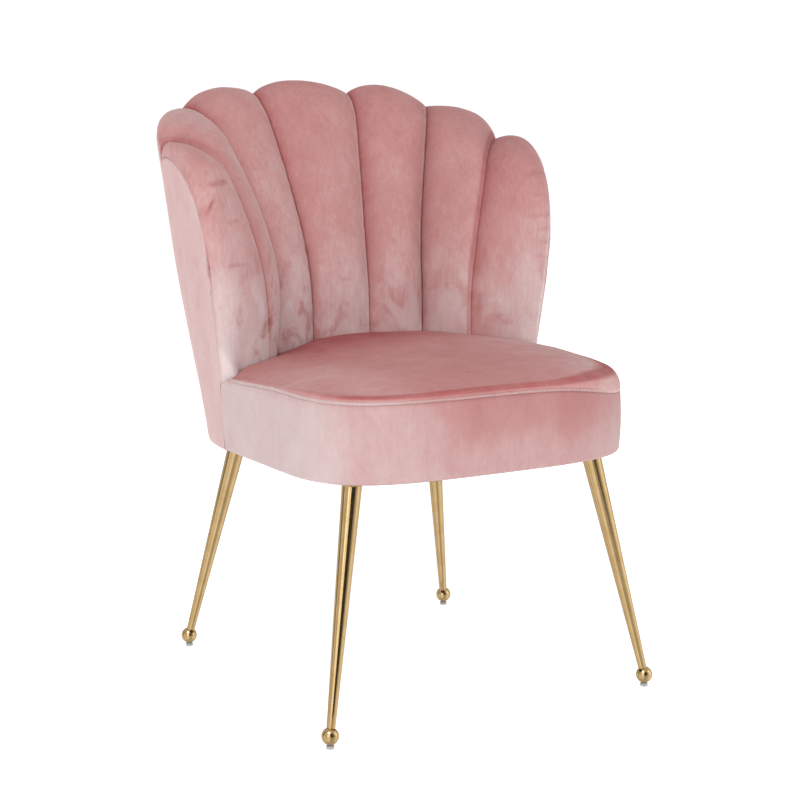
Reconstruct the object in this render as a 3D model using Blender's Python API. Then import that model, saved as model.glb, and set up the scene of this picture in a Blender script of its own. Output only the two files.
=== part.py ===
"""Scallop-backed velvet armchair on four turned metal legs, as an assembly of separate pieces.

Metres, +Z up. The chair faces -Y and stands on z = 0. The seat is a rounded plan with a straight-sided
band; the back is a padded shell with seven upholstered channels that wraps the rear of the seat.
"""
from math import cos, pi, radians, sin, sqrt

import bmesh
import bpy
from mathutils import Matrix, Vector

# ---------------------------------------------------------------- driving dimensions
# y is measured from the middle between the front and rear feet, which lies at DATUM_Y in the model.
DATUM_Y = -0.02887

SEAT_HALF_WIDTH = 0.2369
SEAT_FRONT_DEPTH = 0.1697      # depth of the rounded front, a superellipse quarter on each side
SEAT_FRONT_CENTRE_Y = -0.0805
SEAT_FRONT_POWER = 3.67
SEAT_BOTTOM_Z = 0.3185
SEAT_SEAM_Z = 0.4195           # seam between the side band and the top cover
SEAT_CROWN = 0.030             # rise of the top cover above its seam
SEAT_CENTRE_Y = -0.030
FRONT_ANGLES = (0, 16, 30, 40, 46, 51, 55, 59, 64, 70, 79, 90)   # where the front's plan has its points
SIDE_STATIONS = (-0.050, -0.020, 0.005, 0.030)
REAR_BEARINGS = (90, 76, 64, 54, 44, 33, 18, 0)

SIDE_FLARE = 0.114             # outward lean of the shell's sides, per metre of height
REAR_LEAN = 0.105              # backward lean of the shell's rear, per metre of height
REAR_Y = 0.262                 # rear of the shell at the seat's bottom
SHELL_POWER_LOW = 2.2          # superellipse power of the shell's plan at the bottom
SHELL_POWER_HIGH = 3.12        # and above the seat
SHELL_POWER_RISE = (0.30, 0.28)    # height where it starts to change, and the height it takes

# Front edge of the shell's side, as height and y.
SHELL_EDGE = ((0.3185, 0.0555), (0.38, 0.048), (0.46, 0.040), (0.54, 0.036), (0.66, 0.041), (0.74, 0.050))
# The three seams between channels on the right of the middle one, as height, x and y.
CHANNEL_SEAMS = (
    ((0.38, 0.0455, 0.167), (0.50, 0.046, 0.170), (0.58, 0.0495, 0.187), (0.66, 0.0585, 0.2142),
     (0.74, 0.0695, 0.247), (0.80, 0.0785, 0.275)),
    ((0.38, 0.1205, 0.146), (0.50, 0.121, 0.147), (0.58, 0.127, 0.160), (0.66, 0.1455, 0.1845),
     (0.74, 0.170, 0.216), (0.80, 0.192, 0.246)),
    ((0.38, 0.160, 0.076), (0.50, 0.1605, 0.078), (0.58, 0.1725, 0.083), (0.66, 0.197, 0.1025),
     (0.72, 0.223, 0.131), (0.80, 0.262, 0.170)),
)
SEAM_BEARINGS = (radians(16.5), radians(41.5), radians(63.5), radians(90))
SEAM_CRESTS = (0.7787, 0.7603, 0.7141)         # height of the rim at each seam
SEAM_AWAY = ((0.16, 0.99), (0.655, 0.83), (0.74, 0.72))   # into the shell, for 1 m of depth
CREST_SHARES = (0.52, 0.60, 0.80, 0.85)        # how far through the shell its rim is highest
EDGE_CREST_Z = 0.56            # where the outer channels' rounded corner runs into the edge
EDGE_AWAY = 1.77               # how much further back the edge lies, for 1 m of depth
SCALLOP_RISE = 0.0205
CORNER_RISE = 0.010
CORNER_POWER = 3.1
CREST_SKEW = (0.0, 0.42, 0.24, 0.20, 0.18, -0.45, 0.0)    # positive where a scallop is higher at its left
SHOULDER_POWERS = (2.0, 3.6, 2.0, 2.0, 2.0, 3.0, 2.0)     # higher makes a scallop's outer shoulder squarer
CHANNEL_BULGE = 0.016
BULGE_POWER = 2.4              # higher makes the channels flatter in front
ROLL_HEIGHT = 0.042            # height of the rolled rim above the straight part
CHANNELS = 7
MIDDLE = CHANNELS // 2

COVER = 0.002                  # velvet with its backing
GAP = 0.0004                   # between pieces that touch
PAD_DEPTH = 0.014              # foam behind the seams
BOARD = 0.0046
OUTER_BOARD = 0.003
CHANNEL_BOTTOM_Z = 0.4264

RAIL_OUTSIDE = COVER + 2 * GAP + OUTER_BOARD
RAIL_WIDTH = 0.020
RAIL_BOTTOM_Z = SEAT_BOTTOM_Z + COVER + GAP
RAIL_TOP_Z = 0.3852
RAIL_SPLITS = (6, 14)          # points of the ring's plan where the front and rear rails end
BACK_BAND = 0.012              # thickness of the bent plywood bands behind the ribs
RIB = 0.015
WEBBING = 0.0012
WEBBING_WIDTH = 0.050
WEBBING_LONG_X = (-0.090, 0.0, 0.090)
WEBBING_CROSS_Y = (-0.130, -0.035)
WEBBING_ON_RAIL = 0.003        # from a rail's outside to a webbing's end, front and rear
WEBBING_SIDE = 0.007           # and at the sides
WEBBING_STEPS = 12

LEG_FOOT = {"front": (0.2384, -0.2368), "rear": (0.2137, 0.2368)}
LEG_AIM = {"front": (0.1824, -0.1903), "rear": (0.1587, 0.1820)}   # leg's centre at LEG_AIM_Z
LEG_AIM_Z = 0.30
BALL_RADIUS = 0.011
BALL_Z = 0.016
LEG_TOP_RADIUS = 0.0128
LEG_END_RADIUS = 0.0053
LEG_WALL = 0.001
SPIGOT_RADIUS = 0.0038
PLATE = 0.0025
PLATE_TOP_Z = 0.3165
PLATE_SIZE = (0.056, 0.058)
PLATE_CORNER = 0.008
PLATE_CENTRE = {"front": (0.168, -0.1765), "rear": (0.144, 0.1665)}
SCREW_SPOTS = {
    "front": ((0.155, -0.1995), (0.149, -0.158), (0.187, -0.156)),
    "rear": ((0.126, 0.1875), (0.126, 0.147), (0.163, 0.146)),
}
BLOCK_OUTLINE = {
    "front": ((0.085, -0.2185), (0.165, -0.2025), (0.192, -0.174), (0.2080, -0.095)),
    "rear": ((0.080, 0.2225), (0.1385, 0.1950), (0.1750, 0.1615), (0.2060, 0.084), (0.110, 0.125)),
}
BLOCK_TOP_Z = 0.367
SCREW_RADIUS = 0.002
SCREW_HEAD_RADIUS = 0.0044
SCREW_HEAD = 0.0022
SCREW_TIP_Z = 0.343
DUST_COVER = 0.0008
DUST_COVER_INSET = 0.008
GLIDE_RADIUS = 0.0049
GLIDE_PAD = 0.0046
GLIDE_STUD_RADIUS = 0.0025
GLIDE_STUD_TOP = 0.0160

# ---------------------------------------------------------------- materials: colour, roughness, metallic
MATERIALS = {
    "velvet": ((0.52, 0.29, 0.28), 0.85, 0.0),
    "foam": ((0.86, 0.80, 0.62), 0.95, 0.0),
    "plywood": ((0.66, 0.50, 0.32), 0.70, 0.0),
    "hardboard": ((0.36, 0.24, 0.15), 0.80, 0.0),
    "webbing": ((0.12, 0.12, 0.13), 0.90, 0.0),
    "dust_cloth": ((0.03, 0.03, 0.03), 0.95, 0.0),
    "gold": ((0.83, 0.60, 0.28), 0.18, 1.0),
    "zinc": ((0.55, 0.55, 0.56), 0.40, 1.0),
    "glide_plastic": ((0.62, 0.62, 0.60), 0.55, 0.0),
}


def clear_scene():
    for item in list(bpy.data.objects):
        bpy.data.objects.remove(item, do_unlink=True)


def material(name):
    found = bpy.data.materials.get(name)
    if found:
        return found
    colour, roughness, metallic = MATERIALS[name]
    made = bpy.data.materials.new(name)
    made.use_nodes = True
    shader = made.node_tree.nodes["Principled BSDF"]
    shader.inputs["Base Color"].default_value = (*colour, 1.0)
    shader.inputs["Roughness"].default_value = roughness
    shader.inputs["Metallic"].default_value = metallic
    made.diffuse_color = (*colour, 1.0)
    return made


# ---------------------------------------------------------------- curves and surfaces
def smoothstep(value):
    share = min(max(value, 0.0), 1.0)
    return share * share * (3 - 2 * share)


def smooth_row(height, rows):
    """Values at a height, on a smooth curve through rows of (height, value, ...)."""
    last = len(rows) - 1
    index = 0
    while index < last - 1 and height > rows[index + 1][0]:
        index += 1
    low, high = rows[index], rows[index + 1]
    before, after = rows[max(index - 1, 0)], rows[min(index + 2, last)]
    span = high[0] - low[0]
    share = (height - low[0]) / span
    share = min(max(share, 0.0), 1.0)
    values = []
    for item in range(1, len(low)):
        start = (high[item] - before[item]) / (high[0] - before[0]) * span
        end = (after[item] - low[item]) / (after[0] - low[0]) * span
        square, cube = share ** 2, share ** 3
        values.append(low[item] * (2 * cube - 3 * square + 1) + start * (cube - 2 * square + share)
                      + high[item] * (3 * square - 2 * cube) + end * (cube - square))
    return values


def shell_half_width(z):
    return SEAT_HALF_WIDTH + SIDE_FLARE * (z - SEAT_BOTTOM_Z)


def shell_edge_y(z):
    return smooth_row(z, SHELL_EDGE)[0]


def shell_point(bearing, z, inset=0.0):
    """A point on the shell's outer surface, at a bearing from straight back, moved in by inset."""
    edge_y = shell_edge_y(z)
    width = shell_half_width(z) - inset
    depth = REAR_Y + REAR_LEAN * (z - SEAT_BOTTOM_Z) - edge_y - inset
    start, span = SHELL_POWER_RISE
    power = SHELL_POWER_LOW + (SHELL_POWER_HIGH - SHELL_POWER_LOW) * smoothstep((z - start) / span)
    reach = ((abs(sin(bearing)) / width) ** power + (abs(cos(bearing)) / depth) ** power) ** (-1 / power)
    return Vector((reach * sin(bearing), edge_y + reach * cos(bearing)))


def channel_bound(index, z, inset=0.0):
    """Where bound 0 to 7 between the channels lies at a height, and its bearing on the outer surface."""
    side = -1 if index <= MIDDLE else 1
    seam = MIDDLE - index if index <= MIDDLE else index - MIDDLE - 1
    if seam == len(CHANNEL_SEAMS):
        x, y = shell_half_width(z) - inset, shell_edge_y(z) + EDGE_AWAY * inset
    else:
        x, y = smooth_row(z, CHANNEL_SEAMS[seam])
        x += SEAM_AWAY[seam][0] * inset
        y += SEAM_AWAY[seam][1] * inset
    return Vector((side * x, y)), side * SEAM_BEARINGS[seam], CREST_SHARES[seam]


def channel_point(channel, share, z, bulge, inset=0.0):
    """A point on a channel's front, across it from share 0 to 1; also its bearing and crest share."""
    left, left_bearing, left_crest = channel_bound(channel, z, inset)
    right, right_bearing, right_crest = channel_bound(channel + 1, z, inset)
    across = right - left
    forward = Vector((across.y, -across.x)).normalized()
    swell = bulge * (1 - abs(2 * share - 1) ** BULGE_POWER)
    return (left + across * share + forward * swell,
            left_bearing + (right_bearing - left_bearing) * share,
            left_crest + (right_crest - left_crest) * share)


def arch(share, power=2.0):
    return max(1 - abs(2 * share - 1) ** power, 0.0) ** 0.78


def crest_height(channel, share):
    """Height of the scalloped rim, each scallop a little higher at one side."""
    skew = SCALLOP_RISE * arch(share) * CREST_SKEW[channel] * (1 - 2 * share)
    mirror = channel > MIDDLE
    return even_crest(CHANNELS - 1 - channel if mirror else channel, 1 - share if mirror else share,
                      SHOULDER_POWERS[channel]) + skew


def even_crest(channel, share, shoulder):
    """The rim's height for a channel of the left half, its share from the outer side."""
    if channel == 0:
        out = 1 - share
        corner = sqrt(max(1 - out ** CORNER_POWER, 0.0))
        return EDGE_CREST_Z + (SEAM_CRESTS[2] - EDGE_CREST_Z) * corner + CORNER_RISE * arch(out) * share ** 0.3
    heights = (0.0, SEAM_CRESTS[2], SEAM_CRESTS[1], SEAM_CRESTS[0], SEAM_CRESTS[0])
    low, high = heights[channel], heights[channel + 1]
    return low + (high - low) * share + SCALLOP_RISE * arch(share, shoulder if share < 0.5 else 2.0)


def roll_height(channel, share):
    """Height of the rolled rim above the straight part, less where the shell is thin."""
    z = crest_height(channel, share) - 0.03
    front, bearing, _ = channel_point(channel, share, z, CHANNEL_BULGE)
    thickness = (shell_point(bearing, z) - front).length
    return min(ROLL_HEIGHT, 0.75 * thickness)


def channel_profile(channel, share, bulge, inset, bottom_z, face_rows, roll_rows):
    """Points up a channel's front and over the rim to the shell's rear."""
    height = roll_height(channel, share) - inset
    turn_z = crest_height(channel, share) - roll_height(channel, share)
    points = []
    for row in range(face_rows):
        z = bottom_z + (turn_z - bottom_z) * row / face_rows
        front = channel_point(channel, share, z, bulge, inset)[0]
        points.append((front.x, front.y, z))
    for row in range(roll_rows + 1):
        angle = pi * row / roll_rows
        z = turn_z + height * sin(angle)
        front, bearing, crest_share = channel_point(channel, share, z, bulge, inset)
        rear = shell_point(bearing, z, inset)
        if angle < pi / 2:
            depth = crest_share * (1 - cos(angle))
        else:
            depth = crest_share - (1 - crest_share) * cos(angle)
        point = front + (rear - front) * depth
        points.append((point.x, point.y, z))
    return points


def seat_side_x(y, z, inset):
    """Half width of the seat band, which flares to meet the shell near its rear end."""
    flare = (shell_half_width(z) - SEAT_HALF_WIDTH) * smoothstep((y + 0.12) / 0.165)
    return SEAT_HALF_WIDTH + flare - inset


def front_half(inset):
    """The seat's plan from the front centre to the right side, where its straight side begins."""
    width, depth = SEAT_HALF_WIDTH - inset, SEAT_FRONT_DEPTH - inset
    power = SEAT_FRONT_POWER
    points = []
    for degrees in FRONT_ANGLES:
        angle = radians(degrees)
        reach = ((sin(angle) / width) ** power + (cos(angle) / depth) ** power) ** (-1 / power)
        points.append((reach * sin(angle), SEAT_FRONT_CENTRE_Y - reach * cos(angle)))
    return points


def seat_outline(z, inset, rear_gap=GAP):
    """The band's plan from its left rear end, round the front, to its right rear end."""
    right = front_half(inset)
    for y in (*SIDE_STATIONS, shell_edge_y(z) - rear_gap):
        right.append((seat_side_x(y, z, inset), y))
    return mirrored(right)[:-1] + right


def ring_half(inset):
    """The wooden seat ring's plan from the front centre round the right side to the rear centre."""
    edge_y = SHELL_EDGE[0][1]
    width, depth = SEAT_HALF_WIDTH - inset, REAR_Y - edge_y - inset
    power = SHELL_POWER_LOW
    points = front_half(inset)
    for degrees in REAR_BEARINGS:
        bearing = radians(degrees)
        reach = ((sin(bearing) / width) ** power + (cos(bearing) / depth) ** power) ** (-1 / power)
        points.append((reach * sin(bearing), edge_y + reach * cos(bearing)))
    return points


# ---------------------------------------------------------------- solids
def add_object(name, mesh, slot, origin=(0.0, 0.0, 0.0)):
    mesh.transform(Matrix.Translation(-Vector(origin)))
    item = bpy.data.objects.new(name, mesh)
    item.location = origin
    item.parent = DATUM
    bpy.context.scene.collection.objects.link(item)
    mesh.materials.append(material(slot))
    return item


def finish_mesh(name, bm, smooth_angle=None):
    bmesh.ops.recalc_face_normals(bm, faces=bm.faces)
    mesh = bpy.data.meshes.new(name)
    bm.to_mesh(mesh)
    bm.free()
    if smooth_angle:
        mesh.shade_smooth()
        mesh.set_sharp_from_angle(angle=radians(smooth_angle))
    return mesh


def loft(name, sections, closed=False, smooth_angle=None, flip_from=None):
    """A solid through closed sections of equal point count, capped at its ends or closed on itself.

    Each quad is split by its rising diagonal, so layers that lie on each other are split alike. From
    section flip_from on, the falling diagonal is taken, which makes a symmetric piece's halves match.
    """
    bm = bmesh.new()
    rings = [[bm.verts.new(point) for point in section] for section in sections]
    count = len(rings[0])
    pairs = list(zip(rings, rings[1:]))
    if closed:
        pairs.append((rings[-1], rings[0]))
    for number, (near, far) in enumerate(pairs):
        flipped_half = flip_from is not None and number >= flip_from
        for index in range(count):
            after = (index + 1) % count
            rising = near[after].co.z >= near[index].co.z
            if rising != flipped_half:
                bm.faces.new((near[index], near[after], far[after]))
                bm.faces.new((near[index], far[after], far[index]))
            else:
                bm.faces.new((near[index], near[after], far[index]))
                bm.faces.new((near[after], far[after], far[index]))
    if not closed:
        bm.faces.new(rings[0])
        bm.faces.new(list(reversed(rings[-1])))
    return finish_mesh(name, bm, smooth_angle)


def symmetric_loft(name, sections, smooth_angle=None):
    return loft(name, sections, smooth_angle=smooth_angle, flip_from=(len(sections) - 1) // 2)


def prism(name, outline, bottom_z, top_z):
    sections = [[(x, y, z) for x, y in outline] for z in (bottom_z, top_z)]
    return loft(name, sections)


def turned_on_axis(name, profile, segments, smooth_angle=30):
    """A solid stack of discs about Z from (radius, z) pairs, bottom to top, with flat ends."""
    sections = []
    for radius, z in profile:
        sections.append([(radius * cos(2 * pi * step / segments), radius * sin(2 * pi * step / segments), z)
                         for step in range(segments)])
    return loft(name, sections, smooth_angle=smooth_angle)


def cut(item, cutter, operation="DIFFERENCE"):
    cutter.hide_render = True
    cutter.display_type = "WIRE"
    modifier = item.modifiers.new(cutter.name, "BOOLEAN")
    modifier.operation = operation
    modifier.solver = "EXACT"
    modifier.object = cutter


def mirrored(points):
    return [(-x, y) for x, y in reversed(points)]


# ---------------------------------------------------------------- back
COLUMN_SHARES = (0.0, 0.13, 0.37, 0.63, 0.87, 1.0)
EDGE_SHARES = (0.03, 0.08, 0.16, 0.37, 0.63, 0.87, 1.0)   # across the outer channels, from the edge
MIDDLE_PAD_SHARES = (0.05, 0.13, 0.37, 0.63, 0.87, 0.95)
LEFT_PAD_SHARES = (0.16, 0.37, 0.63, 0.87, 0.95)
RIGHT_PAD_SHARES = tuple(1 - share for share in reversed(LEFT_PAD_SHARES))
PAD_SHARES = (LEFT_PAD_SHARES, *[MIDDLE_PAD_SHARES] * (CHANNELS - 2), RIGHT_PAD_SHARES)
PAD_EASE = 0.0030             # the pads are softer along their sides
FACE_ROWS = 6
ROLL_ROWS = 7


def channel_shares(channel, edge_shares=EDGE_SHARES):
    """The shares across a channel, from left to right, that every layer of the back uses."""
    if channel == 0:
        return edge_shares
    if channel == CHANNELS - 1:
        return tuple(1 - share for share in reversed(edge_shares))
    return COLUMN_SHARES


def columns(edge_shares=EDGE_SHARES):
    """Every (channel, share) across the back once, from left to right."""
    found = []
    for channel in range(CHANNELS):
        shares = channel_shares(channel, edge_shares)
        found += [(channel, share) for share in (shares if channel == 0 else shares[1:])]
    return found


def make_inner_back_cover():
    sections = []
    for channel, share in columns():
        outside = channel_profile(channel, share, CHANNEL_BULGE, 0.0, CHANNEL_BOTTOM_Z, FACE_ROWS, ROLL_ROWS)
        inside = channel_profile(channel, share, CHANNEL_BULGE, COVER, CHANNEL_BOTTOM_Z, FACE_ROWS, ROLL_ROWS)
        sections.append(outside + inside[::-1])
    add_object("inner_back_cover", symmetric_loft("inner_back_cover", sections, 50), "velvet")


def make_channel_pads():
    front_inset = COVER + 0.0012
    bottom_z = CHANNEL_BOTTOM_Z + GAP
    for channel in range(CHANNELS):
        sections = []
        shares = PAD_SHARES[channel]
        for share in shares:
            ease = PAD_EASE if share in (shares[0], shares[-1]) else 0.0
            front = channel_profile(channel, share, CHANNEL_BULGE, front_inset + ease, bottom_z,
                                    FACE_ROWS, ROLL_ROWS)
            rear = channel_profile(channel, share, 0.0, PAD_DEPTH - ease / 2, bottom_z, FACE_ROWS, ROLL_ROWS)
            if channel in (0, CHANNELS - 1):
                front, rear = front[:-2], rear[:-2]
            sections.append(front + rear[::-1])
        name = f"channel_pad_{channel + 1}"
        if channel == MIDDLE:
            mesh = symmetric_loft(name, sections, 50)
        else:
            mesh = loft(name, sections, smooth_angle=50, flip_from=0 if channel > MIDDLE else None)
        add_object(name, mesh, "foam")


def board_section(channel, share):
    turn_z = crest_height(channel, share) - roll_height(channel, share)
    front, rear = [], []
    for row in range(FACE_ROWS + 1):
        z = CHANNEL_BOTTOM_Z + (turn_z - CHANNEL_BOTTOM_Z) * row / FACE_ROWS
        z = min(z, turn_z - 0.004)
        near = channel_point(channel, share, z, 0.0, PAD_DEPTH + BOARD_GAP)[0]
        far = channel_point(channel, share, z, 0.0, PAD_DEPTH + BOARD_GAP + BOARD)[0]
        front.append((near.x, near.y, z))
        rear.append((far.x, far.y, z))
    return front + rear[::-1]


def make_inner_back_board():
    sections = [board_section(channel, share) for channel, share in columns(EDGE_SHARES[3:])]
    add_object("inner_back_board", symmetric_loft("inner_back_board", sections), "hardboard")


BOARD_GAP = 0.0009
RIB_FRONT = PAD_DEPTH + 2 * BOARD_GAP + BOARD
BAND_OUTSIDE = RAIL_OUTSIDE + 0.0018
RIB_REAR = BAND_OUTSIDE + 0.0014
RIB_SET_BACK = 0.0033
ARM_POST_SET_BACK = 0.0085
ARM_POST_TOP_Z = 0.62
ARM_POST_REAR = RIB_REAR + 0.009
BAND_STEPS = 22
BACK_BANDS = (("back_band_lower", 0.500, 0.540, 80), ("back_band_upper", 0.640, 0.680, 58))
RIB_BOTTOM_Z = RAIL_TOP_Z + 2 * GAP + WEBBING
WALL_HEIGHTS = (0.352, 0.386, 0.4185, 0.4205, 0.450)   # where the outer wall's plan changes shape
WALL_ROWS = 4
EDGE_HEM = 0.0046


def upright(name, channel, share, top_z, rows, set_back, rear_inset=RIB_REAR):
    """A plywood upright behind the inner board, notched for the bent bands that cross it."""
    sections = []
    for row in range(rows + 1):
        z = RIB_BOTTOM_Z + (top_z - RIB_BOTTOM_Z) * row / rows
        front, bearing, _ = channel_point(channel, share, z, 0.0, RIB_FRONT)
        rear = shell_point(bearing, z, rear_inset)
        along = (rear - front).normalized()
        aside = Vector((along.y, -along.x)) * RIB / 2
        front = front + along * set_back
        corners = (front - aside, front + aside, rear + aside, rear - aside)
        sections.append([(corner.x, corner.y, z) for corner in corners])
    post = add_object(name, loft(name, sections), "plywood")
    for band, low_z, high_z, reach in BACK_BANDS:
        if low_z < top_z and bearing_within(bearing, reach):
            cut(post, add_band(f"{name}_notch_{band}", low_z, high_z, reach, GAP))


def bearing_within(bearing, reach):
    return abs(bearing) < radians(reach)


def make_uprights():
    for number in (1, 2):
        top_z = SEAM_CRESTS[number - 1] - ROLL_HEIGHT
        upright(f"back_rib_left_{number}", MIDDLE + 1 - number, 0.0, top_z, 7, RIB_SET_BACK)
        upright(f"back_rib_right_{number}", MIDDLE - 1 + number, 1.0, top_z, 7, RIB_SET_BACK)
    upright("arm_post_left", 0, 0.62, ARM_POST_TOP_Z, 5, ARM_POST_SET_BACK, ARM_POST_REAR)
    upright("arm_post_right", CHANNELS - 1, 0.38, ARM_POST_TOP_Z, 5, ARM_POST_SET_BACK, ARM_POST_REAR)


def add_band(name, low_z, high_z, reach, grow=0.0):
    """A bent plywood band across the uprights, a little larger when it cuts their notches."""
    near, far = BAND_OUTSIDE - 3 * grow, BAND_OUTSIDE + BACK_BAND + grow
    corners = ((near, low_z - grow), (near, high_z + grow), (far, high_z + grow), (far, low_z - grow))
    sections = []
    for step in range(BAND_STEPS + 1):
        bearing = radians(-reach + 2 * reach * step / BAND_STEPS)
        points = [(shell_point(bearing, z, inset), z) for inset, z in corners]
        sections.append([(point.x, point.y, z) for point, z in points])
    return add_object(name, symmetric_loft(name, sections), "plywood")


def make_back_bands():
    for name, low_z, high_z, reach in BACK_BANDS:
        add_band(name, low_z, high_z, reach)


def wall_section(channel, share, near, far, bottom_z, top_drop):
    """A section through a layer of the shell's outer wall, from its bottom to the rolled rim."""
    turn_z = crest_height(channel, share) - roll_height(channel, share)
    heights = [bottom_z, *WALL_HEIGHTS]
    heights += [WALL_HEIGHTS[-1] + (turn_z - WALL_HEIGHTS[-1]) * row / WALL_ROWS for row in range(1, WALL_ROWS)]
    heights.append(turn_z - top_drop)
    outside, inside = [], []
    for z in heights:
        bearing = channel_point(channel, share, z, 0.0)[1]
        hem = GAP if z < SEAT_SEAM_Z else EDGE_HEM
        for inset, points in ((near, outside), (far, inside)):
            point = shell_point(bearing, z, inset)
            point.y = max(point.y, shell_edge_y(z) + hem)
            points.append((point.x, point.y, z))
    return outside + inside[::-1]


def make_outer_wall(name, slot, near, far, bottom_z, top_drop, edge_shares):
    sections = []
    for channel, share in columns(edge_shares):
        sections.append(wall_section(channel, share, near, far, bottom_z, top_drop))
    add_object(name, symmetric_loft(name, sections, 50), slot)


def make_back():
    make_inner_back_cover()
    make_channel_pads()
    make_inner_back_board()
    make_uprights()
    make_back_bands()
    make_outer_wall("outer_back_board", "hardboard", COVER + GAP, COVER + GAP + OUTER_BOARD,
                    RAIL_BOTTOM_Z, 0.010, EDGE_SHARES[2:])
    make_outer_wall("outer_back_cover", "velvet", 0.0, COVER, SEAT_BOTTOM_Z, 0.0008, (0.0, *EDGE_SHARES))


# ---------------------------------------------------------------- seat
HEM_WIDTH = 0.014


def make_seat_band():
    """The velvet band round the front and sides, turned under the frame along its bottom."""
    top_z = SEAT_SEAM_Z
    heights = ((SEAT_BOTTOM_Z, 0.0), ((SEAT_BOTTOM_Z + top_z) / 2, 0.0), (top_z, 0.0), (top_z, COVER),
               ((SEAT_BOTTOM_Z + top_z) / 2, COVER), (SEAT_BOTTOM_Z + COVER, COVER),
               (SEAT_BOTTOM_Z + COVER, HEM_WIDTH), (SEAT_BOTTOM_Z, HEM_WIDTH))
    outlines = [seat_outline(z, inset) for z, inset in heights]
    sections = []
    for column in range(len(outlines[0])):
        sections.append([(*outline[column], z) for outline, (z, _) in zip(outlines, heights)])
    add_object("seat_side_band", symmetric_loft("seat_side_band", sections, 50), "velvet")


def rear_line(bulge, inset, z, steps=3):
    """The seat's rear boundary along the channels, from the right edge to the left edge."""
    points = []
    for channel in reversed(range(CHANNELS)):
        for step in range(0 if channel == CHANNELS - 1 else 1, steps + 1):
            share = 1 - step / steps
            if channel == CHANNELS - 1:
                share = min(share, 0.9)
            if channel == 0:
                share = max(share, 0.1)
            point = channel_point(channel, share, z, bulge, inset)[0]
            points.append((point.x, point.y))
    return points


def crown_rings(edge_inset, lift, bottom_z=None):
    """Rings of points from the seat's outline in to its centre, over the crown."""
    z = SEAT_SEAM_Z
    rear = rear_line(0.0, PAD_DEPTH, z)
    outer_ring = seat_outline(z, edge_inset, rear_gap=0.004) + rear
    foot_ring = seat_outline(z, edge_inset + 0.003, rear_gap=0.004) + rear_line(CHANNEL_BULGE, -0.001, z)
    rings = []
    if bottom_z is not None:
        bottom_ring = seat_outline(bottom_z, edge_inset, rear_gap=0.004) + rear
        rings.append([(x, y, bottom_z) for x, y in bottom_ring])
    rings.append([(x, y, z + lift) for x, y in outer_ring])
    for share in (1.0, 0.95, 0.86, 0.70, 0.45, 0.15):
        ring = []
        for x, y in foot_ring:
            power = 2.8 + 3.2 * smoothstep((y + 0.02) / 0.10)
            rise = SEAT_CROWN * (1 - share ** power)
            ring.append((x * share, SEAT_CENTRE_Y + (y - SEAT_CENTRE_Y) * share, z + lift + rise))
        rings.append(ring)
    return rings


def make_seat_top_cover():
    top = crown_rings(0.0, GAP + COVER)
    under = crown_rings(0.0, GAP)
    mesh = loft("seat_top_cover", under[::-1] + top, smooth_angle=50)
    # The stack runs from the underside's centre out and back over the top, so its ends are the two centres.
    add_object("seat_top_cover", mesh, "velvet")


def make_seat_foam():
    rings = crown_rings(COVER + 3 * GAP, -3 * GAP, bottom_z=RAIL_TOP_Z + 0.0045)
    slab = add_object("seat_foam", loft("seat_foam", rings), "foam")
    sections = []
    heights = (RAIL_BOTTOM_Z, RAIL_TOP_Z + 0.010)
    outside = [seat_outline(z, COVER + 3 * GAP, rear_gap=0.005) for z in heights]
    inside = [seat_outline(z, RAIL_OUTSIDE - GAP, rear_gap=0.005) for z in heights]
    for column in range(len(outside[0])):
        section = [(*outline[column], z) for outline, z in zip(outside, heights)]
        section += [(*outline[column], z) for outline, z in reversed(list(zip(inside, heights)))]
        sections.append(section)
    skirt = add_object("seat_foam_skirt", symmetric_loft("seat_foam_skirt", sections), "foam")
    cut(slab, skirt, "UNION")


def make_seat_rails():
    outside, inside = ring_half(RAIL_OUTSIDE), ring_half(RAIL_OUTSIDE + RAIL_WIDTH)
    pairs = list(zip(outside, inside))
    front, side = pairs[:RAIL_SPLITS[0] + 1], pairs[RAIL_SPLITS[0]:RAIL_SPLITS[1] + 1]
    rear = pairs[RAIL_SPLITS[1]:]
    add_rail("seat_rail_front", [flipped(pair) for pair in reversed(front[1:])] + front)
    add_rail("seat_rail_right", side)
    add_rail("seat_rail_left", [flipped(pair) for pair in reversed(side)])
    add_rail("seat_rail_rear", rear + [flipped(pair) for pair in reversed(rear[:-1])])


def flipped(pair):
    return tuple((-x, y) for x, y in pair)


def add_rail(name, pairs):
    """A rail through pairs of outer and inner points, cut back a little at both ends."""
    trimmed = [toward(pairs[0], pairs[1])] + pairs[1:-1] + [toward(pairs[-1], pairs[-2])]
    sections = []
    for outside, inside in trimmed:
        sections.append([(*outside, RAIL_BOTTOM_Z), (*outside, RAIL_TOP_Z),
                         (*inside, RAIL_TOP_Z), (*inside, RAIL_BOTTOM_Z)])
    add_object(name, loft(name, sections), "plywood")


def toward(pair, other):
    """A pair of points moved by one gap toward the next pair."""
    moved = []
    for start, end in zip(pair, other):
        start, end = Vector(start), Vector(end)
        moved.append(tuple(start + (end - start).normalized() * GAP))
    return moved


def make_corner_blocks():
    for end, outline in BLOCK_OUTLINE.items():
        for side, points in (("right", list(outline)), ("left", mirrored(outline))):
            name = f"corner_block_{end}_{side}"
            sign = 1 if side == "right" else -1
            block = add_object(name, prism(name, points, RAIL_BOTTOM_Z, BLOCK_TOP_Z), "plywood")
            for number, (x, y) in enumerate(SCREW_SPOTS[end], 1):
                cut(block, screw_hole(f"{name}_hole_{number}", sign * x, y))


def screw_hole(name, x, y):
    radius = SCREW_RADIUS + 0.0003
    mesh = turned_on_axis(name, ((radius, -0.004), (radius, SCREW_TIP_Z - PLATE_TOP_Z + 0.001)), 7)
    hole = add_object(name, mesh, "zinc")
    hole.location = (x, y, PLATE_TOP_Z)
    return hole


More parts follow.
